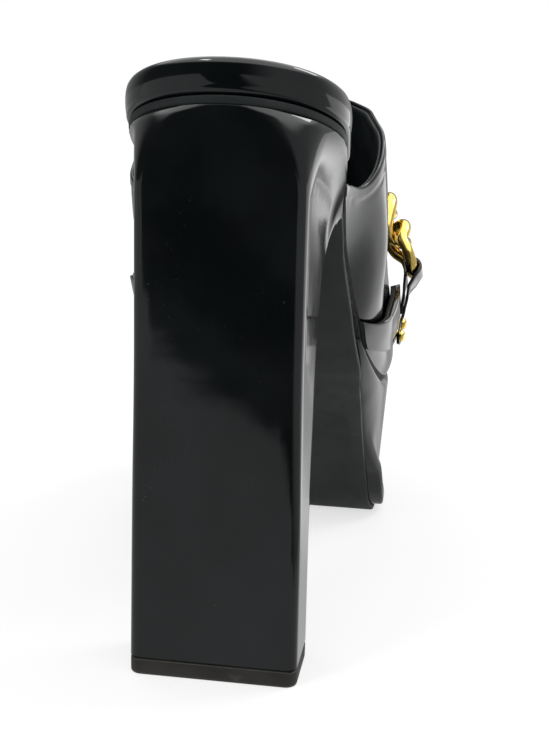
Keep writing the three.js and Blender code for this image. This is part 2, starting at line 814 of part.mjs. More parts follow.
function tabShape(kit, end, outward) {
  const hook = end + outward * linkHalfLength;
  const solid = new Solid();
  const rings = [];
  const steps = 8;
  for (let i = 0; i <= steps; i++) {
    const run = lerp(tabStart, tabLength, i / steps);
    const frame = chain.frame(hook + outward * run);
    const narrow = i === steps ? 0.7 : 1;
    const corners = [[-1, 0], [1, 0], [1, 1], [-1, 1]];
    rings.push(corners.map(([across, up]) => {
      const point = frame.point.clone()
        .addScaledVector(frame.across, across * narrow * tabWidth / 2)
        .addScaledVector(frame.up, tabBase + up * tabTop(run));
      return solid.add(point.x, point.y, point.z);
    }));
  }
  for (let i = 0; i < steps; i++) {
    for (let j = 0; j < 4; j++) {
      const k = (j + 1) % 4;
      if (outward > 0) solid.quad(rings[i][j], rings[i][k], rings[i + 1][k], rings[i + 1][j]);
      else solid.quad(rings[i + 1][j], rings[i + 1][k], rings[i][k], rings[i][j]);
    }
  }
  const [a, b, c, d] = rings[0];
  const [e, f, g, h] = rings[steps];
  if (outward > 0) {
    solid.quad(d, c, b, a);
    solid.quad(e, f, g, h);
  } else {
    solid.quad(a, b, c, d);
    solid.quad(h, g, f, e);
  }
  const tail = toManifold(kit, solid.geometry());
  const frame = chain.frame(end);
  const hole = wireRadius + 0.6;
  const bar = (radius, length) => {
    const shape = new THREE.CylinderGeometry(radius, radius, length, 16);
    const stretch = (radius + tabStretch) / radius;
    shape.scale(stretch, 1, 1).translate(outward * (linkHalfLength - 0.8 * tabStretch), 0, 0);
    return toManifold(kit, placed(shape, frame, linkLift));
  };
  const loop = bar(hole + tabThickness, tabWidth);
  return fromManifold(tail.add(loop).subtract(bar(hole, tabWidth + 2)));
}

// The same geometry with its seams closed
function welded(shape) {
  const solid = new Solid();
  const positions = shape.getAttribute('position');
  for (let i = 0; i < positions.count; i++) solid.add(positions.getX(i), positions.getY(i), positions.getZ(i));
  const index = shape.getIndex().array;
  for (let i = 0; i < index.length; i += 3) solid.faces.push([index[i], index[i + 1], index[i + 2]]);
  return solid.geometry();
}

function toManifold(kit, shape) {
  const closed = welded(shape);
  return new kit.Manifold(new kit.Mesh({
    numProp: 3,
    vertProperties: closed.getAttribute('position').array,
    triVerts: Uint32Array.from(closed.getIndex().array),
  }));
}

function fromManifold(body) {
  const mesh = body.getMesh();
  const shape = new THREE.BufferGeometry();
  shape.setAttribute('position', new THREE.BufferAttribute(Float32Array.from(mesh.vertProperties), 3));
  shape.setIndex(Array.from(mesh.triVerts));
  shape.computeVertexNormals();
  return shape;
}

// Stud: a low dome that sits on the tab
function studShape() {
  const profile = [[0, 0], [1, 0], [1, 0.3], [0.8, 0.7], [0.4, 0.95], [0, 1]];
  const spots = profile.map(([x, y]) => new THREE.Vector2(x * studRadius, y * studHeight));
  return welded(new THREE.LatheGeometry(spots, 12).rotateX(Math.PI / 2));
}

const kit = await Module();
kit.setup();

addMesh('outsole', outsoleShape(), soleRubber);
addMesh('platform', platformShape(), patent);
addMesh('top_piece', topPieceShape(), tipRubber);
addMesh('heel', heelShape(), patent);
addMesh('footbed', footbedShape(), lining);
addMesh('upper', upperShape(), patent);
addMesh('strap_outer', strapShape(1), patent);
addMesh('strap_inner', strapShape(-1), patent);

for (let i = 0; i <= chain.count; i++) {
  const frame = chain.frame(chain.first + i * linkPitch);
  const freeEnd = i === 0 ? -1 : i === chain.count ? 1 : 0;
  addMesh(`chain_link_${i + 1}`, placed(linkShape(freeEnd), frame, linkLift), gold);
}

const ends = [
  { name: 'outer', at: chain.first, outward: -1 },
  { name: 'inner', at: chain.first + chain.count * linkPitch, outward: 1 },
];
for (const end of ends) {
  addMesh(`tab_${end.name}`, tabShape(kit, end.at, end.outward), patent);
  for (let i = 0; i < 2; i++) {
    const run = tabLength - 4 - studSpacing * (1 - i);
    const frame = chain.frame(end.at + end.outward * (linkHalfLength + run));
    addMesh(`stud_${end.name}_${i + 1}`, placed(studShape(), frame, tabBase + tabTop(run) + gap), gold);
  }
}

// Origin: the middle of the bounding box, on the floor
const bounds = new THREE.Box3().setFromObject(meshes);
const centre = bounds.getCenter(new THREE.Vector3());
for (const mesh of meshes.children) mesh.geometry.translate(-centre.x, -centre.y, -bounds.min.z);

export default meshes;
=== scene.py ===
import math

import bmesh
import bpy
import numpy as np
from mathutils import Matrix, Vector


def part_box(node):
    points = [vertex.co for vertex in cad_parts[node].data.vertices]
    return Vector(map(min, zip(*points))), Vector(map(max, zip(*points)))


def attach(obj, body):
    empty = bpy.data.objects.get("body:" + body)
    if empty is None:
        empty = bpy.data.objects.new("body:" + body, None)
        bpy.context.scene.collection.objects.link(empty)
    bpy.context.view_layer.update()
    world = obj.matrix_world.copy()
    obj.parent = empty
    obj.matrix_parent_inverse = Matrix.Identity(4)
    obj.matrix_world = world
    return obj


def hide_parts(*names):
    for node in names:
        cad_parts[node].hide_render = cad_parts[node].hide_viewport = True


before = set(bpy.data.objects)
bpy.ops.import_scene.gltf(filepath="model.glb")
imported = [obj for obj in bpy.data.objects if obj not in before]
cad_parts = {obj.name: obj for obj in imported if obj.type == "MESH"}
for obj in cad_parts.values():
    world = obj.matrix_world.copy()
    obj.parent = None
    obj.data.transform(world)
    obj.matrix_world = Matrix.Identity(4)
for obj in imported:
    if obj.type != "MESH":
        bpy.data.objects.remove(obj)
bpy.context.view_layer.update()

# Lengths are in millimetres in the shoe's own frame until the meshes are made:
# x = 0 at the middle of the heel, y = 0 at its back, z = 0 on the floor.
tip_low, tip_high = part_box("top_piece")

# Sizes of the solids
SOLE_LENGTH = 206
BALL_WIDTH = 90
SEAT_WIDTH = 60.6
SEAT_HEIGHT = 158.6
PLATFORM_HEIGHT = 53.2
TOE_SPRING = 7.8
OUTSOLE_THICKNESS = 2
OUTSOLE_TOE_LIFT = 4.5
SEAT_OVERHANG = 1.2
UNDERCUT = 6.8
EDGE_INSET = 2.6
PLATFORM_TAPER = 3.2
FLANGE_REACH = 1.35
FLANGE_SKEW = 1.15
FLANGE_HEIGHT = 4.2
FLANGE_FILLET = 6.3
HEEL_BASE_WIDTH = 46.9
HEEL_OFFSET = -0.75
HEEL_BASE_DEPTH = 22.8
HEEL_CORNER = 2.8
HEEL_FLARE = 24
TOP_PIECE_HEIGHT = 5
SEAT_BAND = 9.2
FOOTBED_THICKNESS = 3.6
WALL = 2.2
UPPER_REST = 0.1
THROAT_HEIGHT = 159
FEATHER_NOTCH = 1.6
TOE_FULLNESS = 0.6
TUCK_BACK = 30
TUCK_FRONT = (9.5, 22)
STRAP_THICKNESS = 3.8
STRAP_FRONT_THICKNESS = 1.8
STRAP_END_LENGTH = 0.07
LINK_HALF_LENGTH = 9.54
LINK_HALF_WIDTH = 6.6
WIRE_RADIUS = 1.91
LINK_TWIST = 2.98
LINK_PITCH = 12.6
TAB_WIDTH = 6.4
TAB_THICKNESS = 1.9
TAB_LENGTH = 26.5
STUD_RADIUS = 2.1
STUD_HEIGHT = 1.6
STUD_SPACING = 6.5
GAP = 0.35
STRAP_GAP = 0.62

# From the shoe's own frame to the row's frame, in metres
SHIFT = np.array([(tip_low[0] + tip_high[0]) / 2 - HEEL_OFFSET / 1000, tip_low[1], 0.0])


def curve(rows, size=1):
    """Smooth monotone curve through the rows of a short table, its second column as shares of a size."""
    xs = np.array([r[0] for r in rows], float)
    ys = np.array([r[1] for r in rows], float) * size
    h = np.diff(xs)
    slopes = np.diff(ys) / h
    tangents = np.zeros(len(xs))
    tangents[0], tangents[-1] = slopes[0], slopes[-1]
    for i in range(1, len(xs) - 1):
        if slopes[i - 1] * slopes[i] > 0:
            w1 = 2 * h[i] + h[i - 1]
            w2 = h[i] + 2 * h[i - 1]
            tangents[i] = (w1 + w2) / (w1 / slopes[i - 1] + w2 / slopes[i])

    def value(x):
        x = np.asarray(x, float)
        i = np.clip(np.searchsorted(xs, x, side="left") - 1, 0, len(xs) - 2)
        t = (x - xs[i]) / h[i]
        inside = (
            (1 + 2 * t) * (1 - t) ** 2 * ys[i]
            + t * (1 - t) ** 2 * h[i] * tangents[i]
            + t * t * (3 - 2 * t) * ys[i + 1]
            + t * t * (t - 1) * h[i] * tangents[i + 1]
        )
        below = ys[0] + tangents[0] * (x - xs[0])
        above = ys[-1] + tangents[-1] * (x - xs[-1])
        return np.where(x <= xs[0], below, np.where(x >= xs[-1], above, inside))

    return value


def lerp(a, b, t):
    return a + (b - a) * t


def clamp01(t):
    return np.clip(t, 0.0, 1.0)


def ramp(a, b, x):
    t = clamp01((x - a) / (b - a))
    return t * t * (3 - 2 * t)


def eased(line, x, reach):
    """Mean of a curve at five places within reach of x, so that its knots don't show as corners."""
    return sum(line(np.clip(x + part * reach, 0, 1)) for part in (-1, -0.5, 0, 0.5, 1)) / 5


# By share of the sole's length: half width of the plan outline, and where its middle lies across
waist_widths = curve([
    (0.126, 0.5 * SEAT_WIDTH), (0.194, 0.488 * SEAT_WIDTH), (0.252, 0.465 * SEAT_WIDTH),
    (0.301, 0.469 * SEAT_WIDTH), (0.359, 0.344 * BALL_WIDTH), (0.417, 0.393 * BALL_WIDTH),
    (0.485, 0.444 * BALL_WIDTH), (0.558, 0.481 * BALL_WIDTH), (0.631, 0.498 * BALL_WIDTH),
    (0.689, 0.5 * BALL_WIDTH),
])
middles = curve([
    (0, 0), (0.126, -0.007), (0.252, -0.022), (0.359, -0.048), (0.437, -0.074), (0.534, -0.088), (0.689, -0.1),
    (1, -0.117),
], BALL_WIDTH)

# Heights of the line that the footbed lies on, of the platform's back and of the outsole's inset
RISE = SEAT_HEIGHT - PLATFORM_HEIGHT
feather = curve([
    (0, SEAT_HEIGHT), (0.058, PLATFORM_HEIGHT + 0.949 * RISE), (0.117, PLATFORM_HEIGHT + 0.898 * RISE),
    (0.175, PLATFORM_HEIGHT + 0.832 * RISE), (0.218, PLATFORM_HEIGHT + 0.765 * RISE),
    (0.262, PLATFORM_HEIGHT + 0.672 * RISE), (0.32, PLATFORM_HEIGHT + 0.527 * RISE),
    (0.388, PLATFORM_HEIGHT + 0.338 * RISE), (0.437, PLATFORM_HEIGHT + 0.224 * RISE),
    (0.485, PLATFORM_HEIGHT + 0.142 * RISE), (0.544, PLATFORM_HEIGHT + 0.072 * RISE),
    (0.612, PLATFORM_HEIGHT + 0.028 * RISE), (0.689, PLATFORM_HEIGHT + 0.004 * RISE),
    (0.767, PLATFORM_HEIGHT), (0.874, PLATFORM_HEIGHT + 0.26 * TOE_SPRING),
    (1, PLATFORM_HEIGHT + TOE_SPRING),
])
BACK_HEIGHT = float(feather(0.388))
platform_back = curve([
    (0.34, 1.14 * BACK_HEIGHT), (0.388, 0.957 * BACK_HEIGHT), (0.437, 0.806 * BACK_HEIGHT),
    (0.485, 0.691 * BACK_HEIGHT), (0.534, 0.577 * BACK_HEIGHT), (0.573, 0.461 * BACK_HEIGHT),
    (0.612, 0.319 * BACK_HEIGHT), (0.65, 0.173 * BACK_HEIGHT), (0.67, 0.071 * BACK_HEIGHT),
    (0.696, 0.014 * BACK_HEIGHT), (0.724, 0), (0.883, 0), (1, OUTSOLE_TOE_LIFT),
])
outsole_insets = curve([
    (0.3, 0), (0.359, 0), (0.408, 0.13 * UNDERCUT), (0.447, 0.25 * UNDERCUT), (0.505, 0.69 * UNDERCUT),
    (0.549, 0.91 * UNDERCUT), (0.592, UNDERCUT), (0.631, 0.96 * UNDERCUT), (0.675, 0.74 * UNDERCUT),
    (0.709, 0.53 * UNDERCUT), (0.757, EDGE_INSET), (1, EDGE_INSET),
])

SEAT_END = 0.126 * SOLE_LENGTH
BALL_END = 0.689 * SOLE_LENGTH
share = lambda y: np.asarray(y, float) / SOLE_LENGTH
middle = lambda y: middles(share(y))
seat_line = lambda y: feather(share(y))


def half_width(y):
    y = np.asarray(y, float)
    seat = np.clip((SEAT_END - y) / (SEAT_END + SEAT_OVERHANG), 0, 1)
    toe = np.clip((y - BALL_END) / (SOLE_LENGTH - BALL_END), 0, 1)
    back = waist_widths(0.126) * np.sqrt(np.maximum(0, 1 - seat**2.3))
    front = waist_widths(0.689) * np.sqrt(np.maximum(0, 1 - toe**2.2))
    return np.where(y < SEAT_END, back, np.where(y > BALL_END, front, waist_widths(share(y))))


def outline(y, side, offset):
    """Point of the plan outline at y on one side (+1 outer, -1 inner), moved along its normal."""
    y = np.asarray(y, float)
    step = 0.02
    low = np.maximum(-SEAT_OVERHANG, y - step)
    high = np.minimum(SOLE_LENGTH, y + step)
    dx = middle(high) - middle(low) + side * (half_width(high) - half_width(low))
    dy = high - low
    nx, ny = dy * side, -dx * side
    length = np.maximum(np.hypot(nx, ny), 1e-12)
    nx, ny = nx / length, ny / length
    ends = (y <= -SEAT_OVERHANG) | (y >= SOLE_LENGTH)
    nx = np.where(ends, 0, nx)
    ny = np.where(y <= -SEAT_OVERHANG, -1, np.where(y >= SOLE_LENGTH, 1, ny))
    x = middle(y) + side * half_width(y)
    return x + nx * offset, y + ny * offset, nx, ny


def upright(line, y, thickness):
    slope = line(y + 0.5) - line(y - 0.5)
    return thickness * np.sqrt(1 + slope * slope)


back_line = lambda y: platform_back(share(y))
underside = lambda y: np.minimum(seat_line(y) - upright(seat_line, y, OUTSOLE_THICKNESS), back_line(y))
outsole_top = lambda y: np.minimum(seat_line(y), underside(y) + upright(underside, y, OUTSOLE_THICKNESS))
platform_floor = lambda y: outsole_top(y) + upright(outsole_top, y, GAP)

footbed_heights = curve([
    (0, SEAT_BAND), (0.184, 1.02 * SEAT_BAND), (0.223, 0.91 * SEAT_BAND), (0.262, 2.05 * FOOTBED_THICKNESS),
    (0.32, 1.83 * FOOTBED_THICKNESS), (0.437, 1.5 * FOOTBED_THICKNESS), (0.544, 1.17 * FOOTBED_THICKNESS),
    (1, FOOTBED_THICKNESS),
])
UPPER_START = 0.223 * SOLE_LENGTH
notch = lambda y: lerp(0.2, FEATHER_NOTCH, ramp(0.39, 0.46, share(y)))
footbed_floor = lambda y: seat_line(y) + upright(seat_line, y, GAP)
footbed_top = lambda y: footbed_floor(y) + footbed_heights(share(y))


def footbed_inset(y):
    return (notch(y) + WALL + GAP + 0.1) * ramp(UPPER_START - 9, UPPER_START - 1, y)


# The upper's form: height over its crown, how square its sections are, how far its sides bulge beyond the outline,
# and where its topline lies along the sole, by share of the way up from the feather seam
crowns = curve([
    (0.223, 1.3), (0.291, 1.25), (0.388, 1.194), (0.485, 1.12), (0.583, 1.05), (0.665, 1), (0.704, 0.948),
    (0.752, 0.862), (0.801, 0.77), (0.84, 0.69), (0.898, 0.61), (1, 0.6),
], THROAT_HEIGHT)
squareness = curve([(0.437, 3), (0.485, 3.1), (0.534, 2.6), (0.583, 2.15), (0.631, 1.95), (0.7, 1.9), (1, 2.2)])
outer_bulges = curve([
    (0.223, 0.04), (0.291, 0.068), (0.325, 0.093), (0.359, 0.122), (0.4, 0.108), (0.437, 0.064), (0.485, 0.03),
    (0.534, 0.021), (0.583, 0.019), (0.7, 0.016), (1, 0.006),
], BALL_WIDTH)
inner_bulges = curve([
    (0.223, 0.062), (0.291, 0.091), (0.325, 0.102), (0.359, 0.088), (0.4, 0.044), (0.437, 0.006),
    (0.485, -0.026), (0.534, -0.046), (0.6, -0.048), (0.7, -0.034), (1, 0.006),
], BALL_WIDTH)
toplines = curve([
    (0, 0.223), (0.09, 0.291), (0.17, 0.32), (0.28, 0.359), (0.37, 0.391), (0.46, 0.439), (0.57, 0.51),
    (0.66, 0.568), (0.76, 0.621), (0.88, 0.655), (1, 0.665),
])
INNER_DIP = 4
CAP_START = 0.835 * SOLE_LENGTH
TOE_TIP = SOLE_LENGTH + TOE_FULLNESS


def topline(place, side):
    dip = np.where(side < 0, INNER_DIP * np.sin(np.pi * place), 0)
    return eased(toplines, place, 0.05) * SOLE_LENGTH + dip


def upper_point(y, place, side, offset):
    """Point of the upper's outer form at y and place, grown by offset."""
    y, place, side, offset = np.broadcast_arrays(
        np.asarray(y, float), np.asarray(place, float), np.asarray(side, float), np.asarray(offset, float)
    )
    tip = TOE_TIP + offset
    squeezed = np.where(y > BALL_END, lerp(BALL_END, TOE_TIP, (y - BALL_END) / (tip - BALL_END)), y)
    along = np.minimum(1, share(squeezed))
    bulge = np.where(side > 0, eased(outer_bulges, along, 0.04), inner_bulges(along))
    reach = np.clip((squeezed - BALL_END) / (TOE_TIP - BALL_END), 0, 1)
    rounded = np.sqrt(np.maximum(0, 1 - reach**2.2))
    plain = np.where(y > BALL_END, waist_widths(0.689) * rounded, half_width(y))
    width = plain + (bulge + offset) * np.where(y > BALL_END, rounded, 1)
    cap = np.clip((y - CAP_START) / (tip - CAP_START), 0, 1)
    height = (crowns(share(y)) + offset - seat_line(y)) * np.sqrt(np.maximum(0, 1 - cap**2.4))
    power = squareness(along)
    up = np.sin(place * np.pi / 2)
    out = np.maximum(0, 1 - up**power) ** (1 / power)
    lift = up * height
    tuck_height = lerp(TUCK_BACK, np.where(side > 0, *TUCK_FRONT), ramp(0.33, 0.55, along))
    tuck = (bulge + notch(squeezed)) * np.maximum(0, 1 - lift / tuck_height) ** 2
    nx, ny = outline(np.minimum(squeezed, SOLE_LENGTH), side, 0)[2:]
    x = middle(y) + side * width * out - nx * tuck
    back = y - ny * tuck
    return np.stack([x, back, footbed_floor(back) + UPPER_REST + lift], axis=-1)


# The strap's edges and the chain's route. Rows: share of the way up, back and front edge of the outer half, then
# of the inner half, as shares of the sole's length
STRAP_ROWS = [
    (0, 0.388, 0.437, 0.35, 0.408), (0.03, 0.422, 0.495, 0.372, 0.44), (0.08, 0.466, 0.59, 0.408, 0.505),
    (0.1, 0.483, 0.652, 0.43, 0.54), (0.13, 0.51, 0.678, 0.462, 0.587), (0.18, 0.55, 0.69, 0.505, 0.64),
    (0.23, 0.578, 0.706, 0.534, 0.676), (0.33, 0.625, 0.752, 0.584, 0.722),
    (0.5, 0.683, 0.79, 0.658, 0.776), (0.7, 0.719, 0.804, 0.711, 0.8),
    (0.87, 0.741, 0.811, 0.739, 0.81), (1, 0.745, 0.812, 0.745, 0.812),
]
strap_column = lambda i: curve([(r[0], r[i]) for r in STRAP_ROWS])
STRAP_BACK = {1: strap_column(1), -1: strap_column(3)}
STRAP_FRONT = {1: strap_column(2), -1: strap_column(4)}
STRAP_ENDS = {1: 0.2, -1: 0.29}
CHAIN_ENDS = {1: 0.25, -1: 0.34}
route_across = lambda place: lerp(0.8, 0.42, ramp(0.06, 0.26, place))


def band_point(place, side, across, offset):
    y = lerp(STRAP_BACK[side](place), STRAP_FRONT[side](place), across) * SOLE_LENGTH
    return upper_point(y, place, side, offset)


def strap_share(place, side):
    """Share of the band's width that the strap takes: all of it, and less at its rounded end by the chain."""
    reach = clamp01((place - STRAP_ENDS[side]) / STRAP_END_LENGTH + 1)
    return np.sqrt(1 - 0.93 * reach**2.4)


def strap_point(place, side, across, offset):
    return band_point(place, side, lerp(route_across(place), across, strap_share(place, side)), offset)


def strap_top(across, place):
    back = lerp(1.3, 0.9 * STRAP_THICKNESS, ramp(0.0, 0.13, place))
    front = lerp(0.65, 1.3, ramp(0.1, 0.19, place)) * STRAP_FRONT_THICKNESS
    return lerp(back, front, ramp(0.3, 1, across))


# Meshes
CAP_STRIPS = 10


def place_piece(name, points, faces, slots, face_slots=None, sharp=None, weld=0.00002):
    """A piece in the row frame from points in millimetres; slots are its materials."""
    mesh = bpy.data.meshes.new(name)
    mesh.from_pydata((np.asarray(points) / 1000 + SHIFT).tolist(), [], [list(map(int, f)) for f in faces])
    mesh.validate(clean_customdata=False)
    piece = bpy.data.objects.new(name, mesh)
    bpy.context.scene.collection.objects.link(piece)
    for material in slots:
        mesh.materials.append(material)
    if face_slots is not None and len(face_slots) == len(mesh.polygons):
        mesh.polygons.foreach_set("material_index", np.asarray(face_slots, np.int32))
    bm = bmesh.new()
    bm.from_mesh(mesh)
    bmesh.ops.remove_doubles(bm, verts=bm.verts, dist=weld)
    bmesh.ops.dissolve_degenerate(bm, edges=bm.edges, dist=weld / 4)
    bm.to_mesh(mesh)
    bm.free()
    mesh.polygons.foreach_set("use_smooth", [True] * len(mesh.polygons))
    if sharp:
        mesh.set_sharp_from_angle(angle=math.radians(sharp))
    mesh.update()
    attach(piece, "root")
    return piece


def grid_faces(rows, columns, start=0, flip=False):
    faces = []
    for i in range(rows - 1):
        for j in range(columns - 1):
            a = start + i * columns + j
            d = a + columns
            faces.append((a, d, d + 1, a + 1) if flip else (a, a + 1, d + 1, d))
    return faces


def stations(start, end, count):
    even = np.linspace(0, 1, count + 1)
    return lerp(start, end, lerp(even, (1 - np.cos(np.pi * even)) / 2, 0.85))


def ring_stack(ys, levels):
    """Rings round the plan outline, one under another, closed with strips across the first and last."""
    outer = [np.stack(level(ys, 1), axis=-1) for level in levels]
    inner = [np.stack(level(ys, -1), axis=-1) for level in levels]
    n = len(ys)
    rings = [np.concatenate([o, i[::-1]]) for o, i in zip(outer, inner)]
    count = 2 * n
    points = np.concatenate(rings)
    faces = []
    for j in range(len(rings) - 1):
        for i in range(count):
            k = (i + 1) % count
            faces.append((j * count + i, (j + 1) * count + i, (j + 1) * count + k, j * count + k))
    t = np.linspace(0, 1, CAP_STRIPS + 1)[:, None, None]
    for level, up in ((0, True), (len(rings) - 1, False)):
        strip = lerp(outer[level][None], inner[level][None], t)
        faces += grid_faces(CAP_STRIPS + 1, n, len(points), flip=not up)
        points = np.concatenate([points, strip.reshape(-1, 3)])
    return points, faces


def tube_faces(rings, count, closed=True):
    faces = []
    for i in range(rings if closed else rings - 1):
        k = (i + 1) % rings
        for j in range(count):
            m = (j + 1) % count
            faces.append((i * count + j, i * count + m, k * count + m, k * count + j))
    return faces


# Materials
def new_material(name):
    material = bpy.data.materials.new(name)
    material.use_nodes = True
    tree = material.node_tree
    return material, tree, tree.nodes["Principled BSDF"]


def put(node, values):
    for name, value in values.items():
        node.inputs[name].default_value = value


def noise(tree, coords, scale, detail=2.0, rough=0.5):
    node = tree.nodes.new("ShaderNodeTexNoise")
    put(node, {"Scale": scale, "Detail": detail, "Roughness": rough})
    tree.links.new(coords, node.inputs["Vector"])
    return node.outputs["Fac"]


def spread(tree, value, low, high, to_low, to_high):
    node = tree.nodes.new("ShaderNodeMapRange")
    node.interpolation_type = "SMOOTHSTEP"
    put(node, {"From Min": low, "From Max": high, "To Min": to_low, "To Max": to_high})
    tree.links.new(value, node.inputs["Value"])
    return node.outputs["Result"]


def blend_colour(tree, factor, a, b):
    node = tree.nodes.new("ShaderNodeMix")
    node.data_type = "RGBA"
    tree.links.new(factor, node.inputs["Factor"])
    for socket, value in (("A", a), ("B", b)):
        port = [s for s in node.inputs if s.name == socket and s.type == "RGBA"][0]
        if isinstance(value, tuple):
            port.default_value = (*value, 1)
        else:
            tree.links.new(value, port)
    return [s for s in node.outputs if s.type == "RGBA"][0]


def maths(tree, kind, a, b):
    node = tree.nodes.new("ShaderNodeMath")
    node.operation = kind
    for port, value in zip(node.inputs, (a, b)):
        if isinstance(value, (int, float)):
            port.default_value = value
        else:
            tree.links.new(value, port)
    return node.outputs[0]


def stretched(tree, coords, scale, turn=(0, 0, 0)):
    node = tree.nodes.new("ShaderNodeMapping")
    put(node, {"Scale": scale, "Rotation": turn})
    tree.links.new(coords, node.inputs["Vector"])
    return node.outputs["Vector"]


def bump(tree, height, strength, distance, normal=None):
    node = tree.nodes.new("ShaderNodeBump")
    put(node, {"Strength": strength, "Distance": distance})
    tree.links.new(height, node.inputs["Height"])
    if normal is not None:
        tree.links.new(normal, node.inputs["Normal"])
    return node.outputs["Normal"]


def object_coords(tree):
    return tree.nodes.new("ShaderNodeTexCoord").outputs["Object"]


def patent(name, wave=0.5, dust=0.25):
    """Patent leather: black base under a clear coat that ripples softly, with hairline rubs and dust."""
    material, tree, shader = new_material(name)
    coords = object_coords(tree)
    tone = spread(tree, noise(tree, coords, 38, 3), 0.35, 0.7, 0.0, 1.0)
    base = blend_colour(tree, tone, (0.0016, 0.0024, 0.0028), (0.0042, 0.0054, 0.006))
    speck = noise(tree, coords, 1500, 1)
    dusty = maths(tree, "MULTIPLY", spread(tree, speck, 0.7, 0.78, 0, dust),
                  spread(tree, noise(tree, coords, 60, 2), 0.5, 0.75, 0, 1))
    colour = blend_colour(tree, dusty, base, (0.11, 0.115, 0.12))
    tree.links.new(colour, shader.inputs["Base Color"])
    rubs = noise(tree, stretched(tree, coords, (500, 22, 500), (0.2, 0.1, 0.5)), 1, 2)
    marks = spread(tree, rubs, 0.66, 0.74, 0, 1)
    patchy = spread(tree, noise(tree, coords, 45, 3), 0.35, 0.7, 0.1, 0.24)
    rough = maths(tree, "ADD", patchy, maths(tree, "MULTIPLY", marks, 0.1))
    tree.links.new(rough, shader.inputs["Roughness"])
    swell = bump(tree, noise(tree, coords, 42, 1.5), wave, 0.0006)
    peel = bump(tree, noise(tree, coords, 620, 2), 0.05, 0.00008, swell)
    tree.links.new(peel, shader.inputs["Normal"])
    coat = bump(tree, noise(tree, coords, 42, 1.5), wave, 0.00045)
    tree.links.new(coat, shader.inputs["Coat Normal"])
    put(shader, {"Specular IOR Level": 0.08, "Coat Weight": 1.0, "Coat Roughness": 0.06, "Coat IOR": 1.46})
    return material


def matt(name, dark, light, rough, grain, depth, wear=None):
    material, tree, shader = new_material(name)
    coords = object_coords(tree)
    tone = spread(tree, noise(tree, coords, 55, 4), 0.3, 0.7, 0.0, 1.0)
    colour = blend_colour(tree, tone, dark, light)
    if wear:
        scuff = noise(tree, stretched(tree, coords, (90, 340, 90), (0, 0, 0.4)), 1, 4, 0.65)
        worn = spread(tree, scuff, 0.58, 0.72, 0, 0.6)
        low = tree.nodes.new("ShaderNodeSeparateXYZ")
        tree.links.new(coords, low.inputs[0])
        near = spread(tree, low.outputs["Z"], 0.0, 0.006, 1, 0.12)
        colour = blend_colour(tree, maths(tree, "MULTIPLY", worn, near), colour, wear)
    tree.links.new(colour, shader.inputs["Base Color"])
    tree.links.new(spread(tree, noise(tree, coords, 120, 3), 0.3, 0.7, rough - 0.08, rough + 0.08),
                   shader.inputs["Roughness"])
    fine = bump(tree, noise(tree, coords, grain, 3, 0.6), 0.5, depth)
    tree.links.new(fine, shader.inputs["Normal"])
    shader.inputs["Specular IOR Level"].default_value = 0.3
    return material


def gold_metal():
    material, tree, shader = new_material("gold_metal")
    coords = object_coords(tree)
    tone = spread(tree, noise(tree, coords, 160, 3), 0.35, 0.7, 0.0, 1.0)
    colour = blend_colour(tree, tone, (0.72, 0.5, 0.12), (0.84, 0.64, 0.2))
    tree.links.new(colour, shader.inputs["Base Color"])
    shader.inputs["Metallic"].default_value = 1.0
    scratch = noise(tree, stretched(tree, coords, (900, 150, 900), (0.5, 0.3, 0.2)), 1, 3)
    tree.links.new(spread(tree, scratch, 0.4, 0.72, 0.1, 0.26), shader.inputs["Roughness"])
    tree.links.new(bump(tree, scratch, 0.12, 0.00005), shader.inputs["Normal"])
    return material


patent_upper = patent("patent_upper", 0.55)
patent_platform = patent("patent_platform", 0.4)
patent_heel = patent("patent_heel", 0.35)
patent_band = patent("patent_band", 0.3)
patent_strap = patent("patent_strap", 0.3)
lining = matt("lining_leather", (0.006, 0.009, 0.010), (0.012, 0.016, 0.018), 0.5, 1300, 0.00015)
sock = matt("sock_leather", (0.010, 0.012, 0.013), (0.02, 0.022, 0.024), 0.45, 1000, 0.0002)
# Dark matt finish without a coat. It covers the strap layers' real cut edges, and on the upper a strip along the
# feather seam that is painted shade for the dark line in the seam's groove.
edge_and_seam_shade_finish = matt("cut_edge_and_painted_seam_shade", (0.002, 0.002, 0.003), (0.005, 0.005, 0.006), 0.66, 2400, 0.0001)
sole_rubber = matt("sole_rubber", (0.009, 0.012, 0.0125), (0.015, 0.0185, 0.0185), 0.52, 2200, 0.00012,
                   (0.09, 0.088, 0.08))
tip_rubber = matt("tip_rubber", (0.013, 0.0125, 0.011), (0.023, 0.022, 0.0185), 0.5, 1800, 0.00015,
                  (0.085, 0.08, 0.07))
gold = gold_metal()


# Outsole
def outsole_piece():
    ys = stations(-SEAT_OVERHANG, SOLE_LENGTH, 260)

    def level(inset, lift):
        def at(y, side):
            seat = 0.9 * (1 - ramp(0.2, 0.34, share(y)))
            ex, ey = outline(y, side, -outsole_insets(share(y)) - inset - seat)[:2]
            return ex, ey, lerp(underside(ey), outsole_top(ey), lift)
        return at

    profile = [(0.45, 1), (0.12, 0.93), (0, 0.75), (0, 0.3), (0.14, 0.08), (0.5, 0)]
    points, faces = ring_stack(ys, [level(*p) for p in profile])
    return place_piece("outsole_sheet", points, faces, [sole_rubber], sharp=50)


